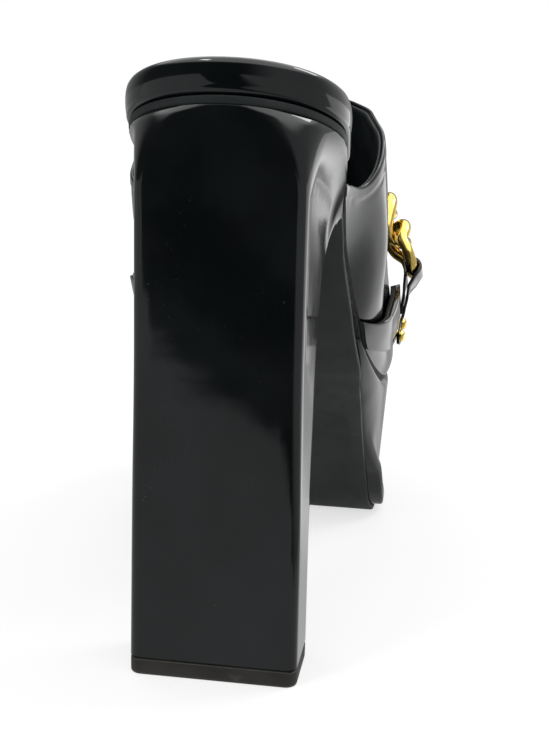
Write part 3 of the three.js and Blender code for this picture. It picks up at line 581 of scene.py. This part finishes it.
# Platform
def platform_piece():
    start = 0.425 * SOLE_LENGTH
    ys = np.concatenate([[start], [y for y in stations(-SEAT_OVERHANG, SOLE_LENGTH, 320) if y > start + 0.4]])

    def level(part, length, inset=0.0):
        def at(y, side):
            nx = outline(y, side, 0)[2]
            height = seat_line(y) - platform_floor(y)
            scale = np.minimum(1, height / 16)
            depth = part * (height - (FLANGE_HEIGHT + FLANGE_FILLET) * scale) + length * scale
            above = height - depth
            down = depth / height
            grown = ramp(0.602, 0.689, share(y))
            reach = PLATFORM_TAPER + FLANGE_REACH - FLANGE_SKEW * nx
            fillet = clamp01((above / scale - FLANGE_HEIGHT) / FLANGE_FILLET)
            plain = -outsole_insets(share(y)) * down**1.6
            flared = -PLATFORM_TAPER * down + reach * (1 - fillet) ** 2
            ex, ey = outline(y, side, lerp(plain, flared, grown) - inset)[:2]
            return ex, ey, seat_line(y) - depth
        return at

    low = FLANGE_HEIGHT + FLANGE_FILLET
    profile = [(0, 0, 2.2), (0, 0.12, 1.35), (0, 0.42, 0.7), (0, 0.95, 0.28), (0, 1.7, 0.06), (0, 2.5, 0)]
    profile += [(t, 2.2 * (1 - t), 0) for t in np.linspace(0.08, 0.95, 14)]
    profile += [(1, f * FLANGE_FILLET, 0) for f in (0, 0.15, 0.3, 0.45, 0.6, 0.75, 0.88, 1)]
    profile += [(1, FLANGE_FILLET + 0.28 * FLANGE_HEIGHT, 0), (1, FLANGE_FILLET + 0.55 * FLANGE_HEIGHT, 0.03)]
    profile += [(1, low - 0.8, 0.1), (1, low - 0.3, 0.4), (1, low, 0.95)]
    points, faces = ring_stack(ys, [level(*p) for p in profile])
    return place_piece("platform_cover", points, faces, [patent_platform], sharp=60)


# Footbed with its wrapped band and its sock
def footbed_piece():
    ys = stations(-SEAT_OVERHANG, SOLE_LENGTH, 260)

    def level(inset, lift):
        def at(y, side):
            ex, ey = outline(y, side, -footbed_inset(y) - inset)[:2]
            return ex, ey, lerp(footbed_floor(ey), footbed_top(ey), lift)
        return at

    profile = [(3.2, 1), (2.2, 0.995), (1.4, 0.965), (0.8, 0.91), (0.38, 0.83), (0.12, 0.72), (0, 0.58),
               (0, 0.44), (0.06, 0.32), (0.2, 0.2), (0.34, 0.13), (0.3, 0.1), (0.55, 0.05), (1.0, 0.015), (2.2, 0)]
    points, faces = ring_stack(ys, [level(*p) for p in profile])
    n_band = (len(profile) - 1) * 2 * len(ys)
    slots = [0] * n_band + [1] * (len(faces) - n_band)
    return place_piece("footbed_band", points, faces, [patent_band, sock], slots, sharp=55)


# Heel
heel_widths = curve([
    (0.03, 0.5), (0.3, 0.493), (0.6, 0.482), (0.8, 0.482), (1, 0.5),
], HEEL_BASE_WIDTH)
heel_depths = curve([
    (0.03, 1), (0.2, 1.02), (0.35, 1.14), (0.46, 1.3), (0.55, 1.5), (0.64, 1.77), (0.72, 2.05), (0.8, 2.3),
    (1, 2.6),
], HEEL_BASE_DEPTH)
BREAST_END = 0.252 * SOLE_LENGTH
CORNER_STEPS = 9
# Place along heel_half where the breast begins
BREAST_KEY = 30
# The top edge lies this far inside the seat and is rounded towards the middle
HEEL_TUCK = 0.55
HEEL_ROUND = 0.45
HEEL_MIDDLE = 14.0


def heel_half(width, depth, corner):
    """Half of a rounded rectangle from the middle of the back to the middle of the breast."""
    pts = [(width * t, 0.0) for t in (0, 0.2, 0.4, 0.58, 0.74)]
    for turn in np.linspace(0, np.pi / 2, CORNER_STEPS):
        pts.append((width - corner + corner * np.sin(turn), corner - corner * np.cos(turn)))
    for t in (0.12, 0.27, 0.42, 0.57, 0.72, 0.86):
        pts.append((width, lerp(corner, depth - corner, t)))
    for turn in np.linspace(0, np.pi / 2, CORNER_STEPS):
        pts.append((width - corner + corner * np.cos(turn), depth - corner + corner * np.sin(turn)))
    pts += [(width * t, depth) for t in (0.7, 0.45, 0.2, 0)]
    return np.array(pts)


def block_faces(levels, half):
    """Faces of a block of rings, each two heel_half halves, closed across at the bottom and the top."""
    n = 2 * half - 2
    faces = tube_faces(levels, n, closed=False)
    for level, up in ((0, False), (levels - 1, True)):
        first = level * n
        right = [first + i for i in range(half)]
        left = [first] + [first + n - i for i in range(1, half - 1)] + [first + half - 1]
        for i in range(half - 1):
            quad = list(dict.fromkeys([right[i], right[i + 1], left[i + 1], left[i]]))
            faces.append(tuple(quad if up else quad[::-1]))
    return faces


# Place along heel_half, matching y on the seat outline
seat_places = curve([
    (0, -SEAT_OVERHANG), (4, -0.2), (7, 1.6), (10, 5), (13, 9.5), (15, 15), (17, 25), (19, 36), (21, 44),
    (24, 49), (28, 51.2), (BREAST_KEY, BREAST_END),
])


def heel_piece():
    shape = heel_half(1, 4, 0.5)
    count = len(shape)
    keys = np.arange(count, dtype=float)
    steps = np.concatenate([np.linspace(0, 0.7, 36), np.linspace(0.71, 1, 44)])
    base = TOP_PIECE_HEIGHT + GAP
    rings = []
    for step in steps:
        halves = []
        for side in (1, -1):
            ey = np.minimum(seat_places(np.minimum(keys, BREAST_KEY)), BREAST_END)
            ex, oy = outline(ey, side, -HEEL_TUCK)[:2]
            oy = np.minimum(oy, BREAST_END)
            after = keys > BREAST_KEY
            closing = np.clip((keys - BREAST_KEY) / (count - 1 - BREAST_KEY), 0, 1)
            ex = np.where(after, ex * (1 - closing), ex)
            oy = np.where(after, BREAST_END, oy)
            ex[0] = 0
            ceiling = underside(oy) - upright(underside, oy, GAP)
            z = lerp(base, ceiling, step)
            part = z / SEAT_HEIGHT
            shaft = np.array([heel_half(float(heel_widths(p)), float(heel_depths(p)), HEEL_CORNER)[i]
                              for i, p in enumerate(part)])
            flare = clamp01((z - ceiling + HEEL_FLARE) / HEEL_FLARE) ** 2.6
            round_in = HEEL_ROUND * ramp(0.992, 1.0, step)
            px = lerp(HEEL_OFFSET + side * shaft[:, 0], ex, flare)
            py = lerp(shaft[:, 1], oy, flare)
            d = np.maximum(np.hypot(px, py - HEEL_MIDDLE), 1e-6)
            px = px - px / d * round_in
            py = py - (py - HEEL_MIDDLE) / d * round_in
            halves.append(np.stack([px, py, z], axis=-1))
        rings.append(np.concatenate([halves[0], halves[1][::-1][1:-1]]))
    faces = block_faces(len(rings), count)
    return place_piece("heel_cover", np.concatenate(rings), faces, [patent_heel], sharp=50)


def top_piece():
    half = heel_half(float(heel_widths(0.03)), float(heel_depths(0.03)), HEEL_CORNER + 0.3)
    ring = np.concatenate([half, (half * [-1, 1])[::-1][1:-1]])
    levels = [(0, 0.55), (0.12, 0.2), (0.5, 0.02), (1.2, 0), (4.3, 0), (4.6, 0.25), (4.75, 0.7), (5, 0.75)]
    rings = []
    middle_y = HEEL_BASE_DEPTH / 2
    for z, inset in levels:
        sx = 1 - 2 * inset / HEEL_BASE_WIDTH
        sy = 1 - 2 * inset / HEEL_BASE_DEPTH
        rings.append(np.stack([HEEL_OFFSET + ring[:, 0] * sx, middle_y + (ring[:, 1] - middle_y) * sy,
                               np.full(len(ring), z)], -1))
    faces = block_faces(len(rings), len(half))
    return place_piece("heel_tip", np.concatenate(rings), faces, [tip_rubber], sharp=45)


# Upper: outer leather, rolled topline and lining in one sheet
def to_polyline(points, path):
    """Distance of each point from a polyline, and the share of the way along it."""
    path = np.asarray(path, float)
    best = np.full(len(points), 1e9)
    way = np.zeros(len(points))
    for i in range(len(path) - 1):
        a, b = path[i], path[i + 1]
        ab = b - a
        t = np.clip(((points - a) @ ab) / max(ab @ ab, 1e-9), 0, 1)
        d = np.linalg.norm(points - (a + t[:, None] * ab), axis=1)
        nearer = d < best
        best = np.where(nearer, d, best)
        way = np.where(nearer, (i + t) / (len(path) - 1), way)
    return best, way


# Creases: side, then (y, place) along each, half width and depth in millimetres
CREASES = [
    (1, [(121, 0.31), (127, 0.27), (134, 0.25)], 2.0, 0.16),
    (1, [(140, 0.60), (146, 0.44), (149, 0.34)], 3.4, 0.35),
    (1, [(150, 0.80), (156, 0.55), (158, 0.38)], 4.2, 0.32),
    (-1, [(139, 0.66), (143, 0.48), (146, 0.36)], 3.4, 0.33),
    (-1, [(148, 0.84), (153, 0.62), (155, 0.45)], 4.0, 0.3),
    (1, [(86, 0.19), (96, 0.2), (104, 0.24)], 3.0, 0.18),
    (-1, [(88, 0.2), (97, 0.2), (106, 0.25)], 3.0, 0.18),
]
BIND_WIDTH = 3.1
HALF_COLUMNS = 71
OUTER_ROWS, INNER_ROWS = 150, 70


def upper_rows(count):
    """Shares of the way from the topline to the toe, closer together at the toe."""
    t = np.linspace(0, 1, count)
    return lerp(t, np.sin(t * np.pi / 2), 0.8)


def upper_piece():
    half = np.linspace(0, 1, HALF_COLUMNS) ** 1.3
    place = np.concatenate([half, half[:-1][::-1]])
    side = np.concatenate([np.ones(HALF_COLUMNS), -np.ones(HALF_COLUMNS - 1)])
    columns = len(place)
    along = upper_rows(OUTER_ROWS)
    along = np.concatenate([[0, 0.0022, 0.005, 0.008, 0.0115, 0.0155, 0.02], along[along > 0.024]])
    start = topline(place, side)

    outer_y = lerp(start[None], TOE_TIP, along[:, None])
    outer = upper_point(outer_y, place[None], side[None], 0.0)
    edge = outer[0]
    tangent = np.gradient(edge, axis=0)
    tangent /= np.linalg.norm(tangent, axis=1, keepdims=True)
    step = outer[4] - outer[0]
    step /= np.linalg.norm(step, axis=1, keepdims=True)
    lean = np.linalg.norm(np.cross(tangent, step), axis=1)
    gone = np.cumsum(np.linalg.norm(np.diff(outer, axis=0), axis=2), axis=0)
    run = np.concatenate([np.zeros((1, columns)), gone])
    away = run * lean[None]
    band = 1 - ramp(BIND_WIDTH - 0.5, BIND_WIDTH + 0.25, away)
    groove = np.exp(-(((away - BIND_WIDTH - 0.25) / 0.42) ** 2))
    bound = 0.3 * band - 0.22 * groove
    flat = outer.reshape(-1, 3)
    sides = np.broadcast_to(side, outer_y.shape).reshape(-1)
    places = np.broadcast_to(place, outer_y.shape).reshape(-1)
    dents = np.zeros(len(flat))
    fine = np.linspace(0, 1, 14)
    for crease_side, spots, width, depth in CREASES:
        keys = np.linspace(0, 1, len(spots))
        cy = np.interp(fine, keys, [s[0] for s in spots])
        cp = np.interp(fine, keys, [s[1] for s in spots])
        path = upper_point(cy, cp, crease_side, 0.0)
        distance, way = to_polyline(flat, path)
        fade = np.sin(np.pi * np.clip(way, 0.02, 0.98)) ** 0.7
        near = np.exp(-((distance / width) ** 2)) - 0.55 * np.exp(-(((distance - 1.9 * width) / width) ** 2))
        dents += np.where(sides == crease_side, -depth * fade * near, 0)
    x, y, z = flat.T
    soft = 0.12 * np.sin(y / 13.0 + 1.3) * np.sin(z / 17.0) + 0.1 * np.sin(x / 15.0 + y / 23.0)
    soft *= ramp(0.03, 0.16, places)
    waves = (dents + soft).reshape(outer_y.shape) * ramp(1.0, 5.0, away)
    offset = bound + waves * (1 - ramp(0.93, 1, along))[:, None]
    outer = upper_point(outer_y, place[None], side[None], offset)

    lips = []
    for s in np.linspace(0.02, 0.98, 17):
        bead = 0.75 * abs(math.sin(2 * math.pi * s)) ** 0.6 * (1.0 if s < 0.5 else 0.8)
        lift = bead / np.maximum(lean, 0.3)
        lips.append(upper_point(start - lift, place, side, lerp(0.3, -WALL, s)))
    inner_y = lerp(start[None], TOE_TIP - WALL, upper_rows(INNER_ROWS)[:, None])
    inner = upper_point(inner_y, place[None], side[None], -WALL)

    sheet = np.concatenate([outer[::-1], np.array(lips), inner])
    rows = len(sheet)
    points = sheet.reshape(-1, 3)
    faces = grid_faces(rows, columns, flip=True)
    split = len(outer) + 8
    # The two columns nearest the feather seam on each side take the dark matt finish: painted shade of the seam's
    # groove.
    dark_matt_strip = lambda j: j < 2 or j > columns - 4
    slots = [1 if i >= split else 2 if dark_matt_strip(j) else 0 for i in range(rows - 1) for j in range(columns - 1)]
    n_out, n_in = len(outer), len(inner)
    opposite = lambda i: int(round(lerp(n_out - 1, 0, i / (n_in - 1))))
    for j in (0, columns - 1):
        column = [i * columns + j for i in range(rows)]
        for i in range(min(n_out, n_in) - 1):
            a, b = column[opposite(i)], column[opposite(i + 1)]
            c, d = column[rows - n_in + i + 1], column[rows - n_in + i]
            quad = (a, b, c, d) if j else (d, c, b, a)
            if len(set(quad)) >= 3:
                faces.append(tuple(dict.fromkeys(quad)))
                slots.append(1)
    return place_piece("vamp", points, faces, [patent_upper, lining, edge_and_seam_shade_finish], slots, sharp=65)


# Strap halves: two folded layers with a dark gap between them at the back edge.
# Sections round a strap, counted from its back, that show the lower layer's cut edge, and those under it
LOWER_LAYER, UNDERSIDE = 6, 10


def strap_piece(side, name):
    rear = [(0.55, 0.0), (0.2, 0.06), (0.02, 0.2), (0.0, 0.36), (0.16, 0.46), (0.75, 0.5), (0.3, 0.545),
            (0.16, 0.64), (0.16, 0.8), (0.34, 0.93), (0.75, 1.0)]
    places = lerp(0.004, STRAP_ENDS[side], np.sin(np.linspace(0, 1, 90) * np.pi / 2))
    back = STRAP_BACK[side](places)
    front = STRAP_FRONT[side](places)
    width = np.maximum((front - back) * SOLE_LENGTH * strap_share(places, side), 3.0)
    rings = []
    for mm, part in rear:
        across = mm / width
        rings.append(strap_point(places, side, across, STRAP_GAP + part * strap_top(0 * places, places)))
    for t in np.linspace(0.08, 0.9, 22):
        crown = 1.0 - 0.05 * np.sin(np.pi * t) ** 2
        rings.append(strap_point(places, side, t, STRAP_GAP + crown * strap_top(t + 0 * places, places)))
    for mm, part in [(1.1, 1.0), (0.5, 0.93), (0.14, 0.78), (0.0, 0.55), (0.1, 0.3), (0.5, 0.05)]:
        across = 1 - mm / width
        rings.append(strap_point(places, side, across, STRAP_GAP + part * strap_top(1 + 0 * places, places)))
    for t in np.linspace(0.9, 0.1, 9):
        rings.append(strap_point(places, side, t + 0 * places, STRAP_GAP))
    grid = np.stack(rings, axis=1)
    if side < 0:
        grid = grid[::-1]
    n, count = grid.shape[:2]
    points = grid.reshape(-1, 3)
    faces = tube_faces(n, count, closed=False)
    dark_matt_strip = lambda j: j < LOWER_LAYER or j >= count - UNDERSIDE
    slots = [1 if dark_matt_strip(j) else 0 for _ in range(n - 1) for j in range(count)]
    centre_a, centre_b = len(points), len(points) + 1
    points = np.concatenate([points, [grid[0].mean(0), grid[-1].mean(0)]])
    for j in range(count):
        m = (j + 1) % count
        faces.append((centre_a, m, j))
        faces.append((centre_b, (n - 1) * count + j, (n - 1) * count + m))
        slots += [1, 1]
    return place_piece(name, points, faces, [patent_strap, edge_and_seam_shade_finish], slots, sharp=48)


# Chain
def route_point(at):
    side = 1 if at < 0 else -1
    place = 1 - abs(at) * (1 - CHAIN_ENDS[side])
    across = float(route_across(place))
    on_strap = 1 - float(ramp(STRAP_ENDS[side] - 0.02, STRAP_ENDS[side] + 0.18, place))
    point = band_point(place, side, across, on_strap * (STRAP_GAP + float(strap_top(across, place))))
    turn = band_point(min(1, place + 0.005), side, across, 0) - band_point(place - 0.005, side, across, 0)
    forward = band_point(place, side, across + 0.02, 0) - band_point(place, side, across - 0.02, 0)
    normal = -side * np.cross(turn, forward)
    return point, normal / np.linalg.norm(normal)


# Chain steps from the middle to either end, and steps of the whole route with the tabs
CHAIN_STEPS, OUTER_STEPS, INNER_STEPS = 250, 328, 365
fine_route = [route_point(i / CHAIN_STEPS) for i in range(-OUTER_STEPS, INNER_STEPS + 1)]
route_points = np.array([p for p, _ in fine_route])
route_normals = np.array([n for _, n in fine_route])
route_lengths = np.concatenate([[0], np.cumsum(np.linalg.norm(np.diff(route_points, axis=0), axis=1))])
chain_start = route_lengths[OUTER_STEPS - CHAIN_STEPS]
chain_end = route_lengths[OUTER_STEPS + CHAIN_STEPS]
LAST_LINK = 9
chain_first = (chain_start + chain_end - LAST_LINK * LINK_PITCH) / 2


def look_up(length):
    point = np.array([np.interp(length, route_lengths, route_points[:, i]) for i in range(3)])
    normal = np.array([np.interp(length, route_lengths, route_normals[:, i]) for i in range(3)])
    return point, normal / np.linalg.norm(normal)


def chain_frame(length):
    point, normal = look_up(length)
    along = look_up(length + 1)[0] - look_up(length - 1)[0]
    along /= np.linalg.norm(along)
    across = np.cross(normal, along)
    across /= np.linalg.norm(across)
    return point, along, across, np.cross(along, across)


LINK_LIFT = LINK_TWIST + WIRE_RADIUS + GAP


def into(frame_axes, local, lift):
    point, along, across, up = frame_axes
    local = np.asarray(local, float)
    return point + local[:, :1] * along + local[:, 1:2] * across + (local[:, 2:3] + lift) * up


def link_piece(index):
    free = -1 if index == 0 else 1 if index == LAST_LINK else 0
    steps, around = 72, 20

    def centre(turn):
        twist = LINK_TWIST * (1.0 if free == 0 else float(ramp(-0.35, 0.35, -free * math.cos(turn))))
        return np.array([LINK_HALF_LENGTH * math.cos(turn), LINK_HALF_WIDTH * math.sin(turn),
                         twist * math.sin(2 * turn)])

    rows = []
    for i in range(steps):
        turn = 2 * math.pi * i / steps
        along = centre(turn + 0.01) - centre(turn - 0.01)
        along /= np.linalg.norm(along)
        out = np.array([math.cos(turn) / LINK_HALF_LENGTH, math.sin(turn) / LINK_HALF_WIDTH, 0])
        up = np.cross(along, out)
        up /= np.linalg.norm(up)
        beside = np.cross(up, along)
        for j in range(around):
            angle = 2 * math.pi * j / around
            rows.append(centre(turn) + WIRE_RADIUS * (math.cos(angle) * beside + math.sin(angle) * up))
    points = into(chain_frame(chain_first + index * LINK_PITCH), rows, LINK_LIFT)
    return place_piece(f"curb_link_{index + 1}", points, tube_faces(steps, around), [gold])


# Tabs: a leather strip that lies on the strap, wraps the end link and comes back under itself.
# Runs along it from the link's end: where the top layer leaves for the link and where it comes down past the
# return layer, and the stretch of that layer; then the loop round the wire, in millimetres and degrees
TAB_REST = 0.15
LEAVE_RUN = 8.6
DOWN_RUN = 12.2, 14.6
RETURN_RUN = 7.8, 12
LOOP_CLEARANCE = 0.42
LOOP_TURNS = 32, 262
NECK_TURN, NECK_REACH = -32, 1.7
STUD_REST, STUD_INSET = 0.2, 4


def tab_piece(end, outward, name):
    hook = end + outward * LINK_HALF_LENGTH
    link_frame = chain_frame(end)
    top_thickness = TAB_THICKNESS * 0.5
    path = []
    for run in np.linspace(TAB_LENGTH, LEAVE_RUN, 13):
        point, along, across, up = chain_frame(hook + outward * run)
        lift = lerp(0.5, 1.5, 1 - ramp(*DOWN_RUN, run)) * top_thickness
        path.append((point + (TAB_REST + lift) * up, across, up))
    radius = WIRE_RADIUS + LOOP_CLEARANCE + top_thickness / 2
    point, along, across, up = link_frame
    centre = point + outward * (LINK_HALF_LENGTH - 0.5) * along + LINK_LIFT * up
    turn = math.radians(NECK_TURN)
    neck = centre + (radius + NECK_REACH) * (outward * along * math.cos(turn) + up * math.sin(turn))
    beside = top_thickness / 2 * (up * math.cos(turn) - outward * along * math.sin(turn))
    path.append((neck + beside, across, up))
    for turn in np.radians(np.linspace(*LOOP_TURNS, 20)):
        out = outward * along * math.cos(turn) * (radius + 0.4) + up * math.sin(turn) * radius
        path.append((centre + out, across, out / np.linalg.norm(out)))
    path.append((neck - beside, across, -up))
    for run in np.linspace(*RETURN_RUN, 5):
        point, along, across, up = chain_frame(hook + outward * run)
        path.append((point + (TAB_REST + 0.5 * top_thickness) * up, across, -up))
    spots = np.array([p[0] for p in path])
    for _ in range(2):
        spots[1:-1] = 0.25 * spots[:-2] + 0.5 * spots[1:-1] + 0.25 * spots[2:]
    rings = []
    section = [(-1, -0.6), (-0.96, -1), (0.96, -1), (1, -0.6), (1, 0.6), (0.95, 1), (0.5, 1.04), (-0.5, 1.04),
               (-0.95, 1), (-1, 0.6)]
    for i, spot in enumerate(spots):
        ahead = spots[min(i + 1, len(spots) - 1)] - spots[max(i - 1, 0)]
        ahead /= np.linalg.norm(ahead)
        across = path[i][1] - ahead * (path[i][1] @ ahead)
        across /= np.linalg.norm(across)
        up = np.cross(ahead, across)
        from_end = min(i, 3) / 3
        half_w = TAB_WIDTH / 2 * (0.62 + 0.38 * math.sin(from_end * math.pi / 2))
        rings.append([spot + across * u * half_w + up * w * top_thickness / 2 for u, w in section])
    grid = np.array(rings)
    n, count = grid.shape[:2]
    points = grid.reshape(-1, 3)
    faces = [f[::-1] for f in tube_faces(n, count, closed=False)]
    faces.append(tuple(range(count)))
    faces.append(tuple((n - 1) * count + j for j in reversed(range(count))))
    return place_piece(name, points, faces, [patent_strap], sharp=50)


def stud_piece(end, outward, index, name):
    run = TAB_LENGTH - STUD_INSET - STUD_SPACING * (1 - index)
    profile = [(0, STUD_HEIGHT), (0.35, 0.965 * STUD_HEIGHT), (0.68, 0.84 * STUD_HEIGHT), (0.88, 0.6 * STUD_HEIGHT),
               (0.97, 0.32 * STUD_HEIGHT), (1.0, 0.1 * STUD_HEIGHT), (0.98, 0), (0, 0)]
    steps = 40
    rows = []
    for r, h in profile:
        for j in range(steps):
            angle = 2 * math.pi * j / steps
            rows.append((r * STUD_RADIUS * math.cos(angle), r * STUD_RADIUS * math.sin(angle), h))
    points = into(chain_frame(end + outward * (LINK_HALF_LENGTH + run)), rows, STUD_REST + TAB_THICKNESS / 2)
    faces = [f[::-1] for f in tube_faces(len(profile), steps, closed=False)]
    return place_piece(name, points, faces, [gold], sharp=60)


pieces = [
    (outsole_piece(), ["outsole"], "outsole_rubber"),
    (platform_piece(), ["platform"], "patent_leather"),
    (top_piece(), ["top_piece"], "heel_tip_rubber"),
    (heel_piece(), ["heel"], "patent_leather"),
    (footbed_piece(), ["footbed"], "lining_leather"),
    (upper_piece(), ["upper"], "patent_leather"),
    (strap_piece(1, "strap_half_outer"), ["strap_outer"], "patent_leather"),
    (strap_piece(-1, "strap_half_inner"), ["strap_inner"], "patent_leather"),
]
for i in range(LAST_LINK + 1):
    pieces.append((link_piece(i), [f"chain_link_{i + 1}"], "gold_metal"))
for end_name, at, outward in (("outer", chain_first, -1), ("inner", chain_first + LAST_LINK * LINK_PITCH, 1)):
    pieces.append((tab_piece(at, outward, f"loop_{end_name}"), [f"tab_{end_name}"], "patent_leather"))
    for i in range(2):
        pieces.append((stud_piece(at, outward, i, f"dome_{end_name}_{i + 1}"), [f"stud_{end_name}_{i + 1}"],
                       "gold_metal"))
for piece, nodes, finish in pieces:
    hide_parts(*nodes)


# Stage: a white floor, and a floor and a room that only reflections see
def stage_piece(name, points, faces, colour, glow):
    mesh = bpy.data.meshes.new(name)
    mesh.from_pydata([Vector(c) for c in points], [], faces)
    piece = bpy.data.objects.new(name, mesh)
    bpy.context.scene.collection.objects.link(piece)
    material, _, shader = new_material(name)
    put(shader, {"Base Color": (*colour, 1), "Roughness": 0.9, "Specular IOR Level": 0.0})
    put(shader, {"Emission Color": (1, 1, 1, 1), "Emission Strength": glow})
    mesh.materials.append(material)
    return piece


def reflected_only(piece):
    piece.visible_camera = False
    piece.visible_diffuse = False
    piece.visible_shadow = False
    piece.visible_transmission = False
    return piece


def square(reach, height):
    return [(-reach, -reach, height), (reach, -reach, height), (reach, reach, height), (-reach, reach, height)]


stage_piece("floor", square(6, 0), [(0, 1, 2, 3)], (0.35, 0.35, 0.35), 0.66)

# Brightness of the reflected floor: behind the shoe, past the edge there, on the right, in front, front right
PALE, DARK, SIDE, GREY, BRIGHT = 0.5, 0.02, 0.5, 0.36, 1.6
FLOOR_EDGE = (-0.139, -0.421), (-0.013, -0.215)
FLOOR_LIFT = 0.0008
# Brightness of the reflected room everywhere, and what its sides add
ROOM_DARK, ROOM_RIGHT, ROOM_FRONT, ROOM_ABOVE = 0.03, 0.45, 0.25, 2.0
ROOM_RADIUS = 3.4


def reflected_floor():
    """What the leather sees of the floor: behind the shoe pale on the left, dark past a slanted, ragged edge and
    paler again to the right; in front grey straight ahead and bright to the right."""
    piece = stage_piece("reflected_floor", square(4, FLOOR_LIFT), [(0, 1, 2, 3)], (0, 0, 0), 1.0)
    tree = reflected_only(piece).data.materials[0].node_tree
    shader = tree.nodes["Principled BSDF"]
    spot = tree.nodes.new("ShaderNodeSeparateXYZ")
    tree.links.new(object_coords(tree), spot.inputs[0])
    (ax, ay), (bx, by) = FLOOR_EDGE
    ax, bx, ay, by = ax + SHIFT[0], bx + SHIFT[0], ay + SHIFT[1], by + SHIFT[1]
    length = math.hypot(bx - ax, by - ay)
    nx, ny = (by - ay) / length, -(bx - ax) / length
    past = maths(tree, "ADD", maths(tree, "MULTIPLY", spot.outputs["X"], nx),
                 maths(tree, "MULTIPLY", spot.outputs["Y"], ny))
    past = maths(tree, "SUBTRACT", past, ax * nx + ay * ny)
    ragged = spread(tree, noise(tree, object_coords(tree), 14, 4, 0.6), 0.2, 0.8, -0.03, 0.03)
    light = spread(tree, maths(tree, "ADD", past, ragged), -0.012, 0.02, PALE, DARK)
    light = maths(tree, "MAXIMUM", light, spread(tree, spot.outputs["X"], 0.03, 0.2, DARK, SIDE))
    front = spread(tree, spot.outputs["Y"], -0.03, 0.06, 0, 1)
    aside = maths(tree, "SUBTRACT", spot.outputs["X"], maths(tree, "MULTIPLY", spot.outputs["Y"], 0.35))
    ahead = spread(tree, aside, 0.0, 0.09, GREY, BRIGHT)
    mix = tree.nodes.new("ShaderNodeMix")
    tree.links.new(front, mix.inputs["Factor"])
    tree.links.new(light, mix.inputs["A"])
    tree.links.new(ahead, mix.inputs["B"])
    tree.links.new(mix.outputs["Result"], shader.inputs["Emission Strength"])


def reflected_room():
    """What the leather sees of the room: dark on the left and behind the camera, grey in front and on the right,
    bright overhead."""
    rows, columns = 24, 48
    points = []
    for i in range(rows + 1):
        tilt = math.pi * (i / rows - 0.5)
        for j in range(columns):
            turn = 2 * math.pi * j / columns
            flat = ROOM_RADIUS * math.cos(tilt)
            points.append((flat * math.cos(turn), flat * math.sin(turn), ROOM_RADIUS * math.sin(tilt)))
    faces = tube_faces(rows + 1, columns, closed=False)
    piece = stage_piece("reflected_room", points, faces, (0, 0, 0), 1.0)
    tree = reflected_only(piece).data.materials[0].node_tree
    shader = tree.nodes["Principled BSDF"]
    spot = tree.nodes.new("ShaderNodeSeparateXYZ")
    scaled = stretched(tree, object_coords(tree), (1 / ROOM_RADIUS,) * 3)
    tree.links.new(scaled, spot.inputs[0])
    right = spread(tree, spot.outputs["X"], 0.05, 0.6, 0, ROOM_RIGHT)
    front = spread(tree, spot.outputs["Y"], -0.1, 0.5, 0, ROOM_FRONT)
    above = spread(tree, spot.outputs["Z"], 0.52, 0.7, 0, ROOM_ABOVE)
    total = maths(tree, "ADD", maths(tree, "ADD", right, front), above)
    total = maths(tree, "ADD", total, ROOM_DARK)
    tree.links.new(total, shader.inputs["Emission Strength"])


reflected_floor()
reflected_room()

world = bpy.data.worlds.new("studio")
bpy.context.scene.world = world
world.use_nodes = True
put(world.node_tree.nodes["Background"], {"Color": (1, 1, 1, 1), "Strength": 1.0})


def soft_light(name, position, target, size, power):
    data = bpy.data.lights.new(name, "AREA")
    data.shape = "RECTANGLE"
    data.size, data.size_y = size
    data.energy = power
    lamp = bpy.data.objects.new(name, data)
    lamp.location = position
    lamp.rotation_euler = (Vector(target) - Vector(position)).to_track_quat("-Z", "Y").to_euler()
    bpy.context.scene.collection.objects.link(lamp)
    return lamp


soft_light("key", (-0.7, -0.9, 1.5), (0, 0, 0.1), (0.25, 0.25), 5)
soft_light("rim", (0.9, 0.5, 1.3), (0, 0, 0.1), (0.5, 0.5), 6)

# Camera: where the photograph was taken from, turned so that this one shoe is in the middle
FOCAL, PHOTO_WIDTH, PHOTO_HEIGHT = 1300.0, 550, 733
YAW, PITCH = math.radians(14.757), math.radians(14.0)
LOOK_AT = (417.0, 366.5)
EYE = np.array([61.75, -321.44, 170.98])
SENSOR = 36.0
ahead0 = np.array([-math.sin(YAW) * math.cos(PITCH), math.cos(YAW) * math.cos(PITCH), -math.sin(PITCH)])
right0 = np.array([math.cos(YAW), math.sin(YAW), 0.0])
up0 = np.cross(right0, ahead0)
ahead = ahead0 + right0 * (LOOK_AT[0] - PHOTO_WIDTH / 2) / FOCAL - up0 * (LOOK_AT[1] - PHOTO_HEIGHT / 2) / FOCAL
ahead /= np.linalg.norm(ahead)
right = right0 - ahead * (right0 @ ahead)
right /= np.linalg.norm(right)
up = np.cross(right, ahead)
camera_data = bpy.data.cameras.new("camera")
camera_data.sensor_fit = "HORIZONTAL"
camera_data.sensor_width = SENSOR
camera_data.lens = SENSOR * FOCAL / PHOTO_WIDTH
camera_data.clip_start = 0.01
camera = bpy.data.objects.new("camera", camera_data)
place = Matrix(((right[0], up[0], -ahead[0]), (right[1], up[1], -ahead[1]), (right[2], up[2], -ahead[2]))).to_4x4()
place.translation = Vector(EYE / 1000 + SHIFT)
camera.matrix_world = place
bpy.context.scene.collection.objects.link(camera)
bpy.context.scene.camera = camera
bpy.context.scene.view_settings.view_transform = "Standard"
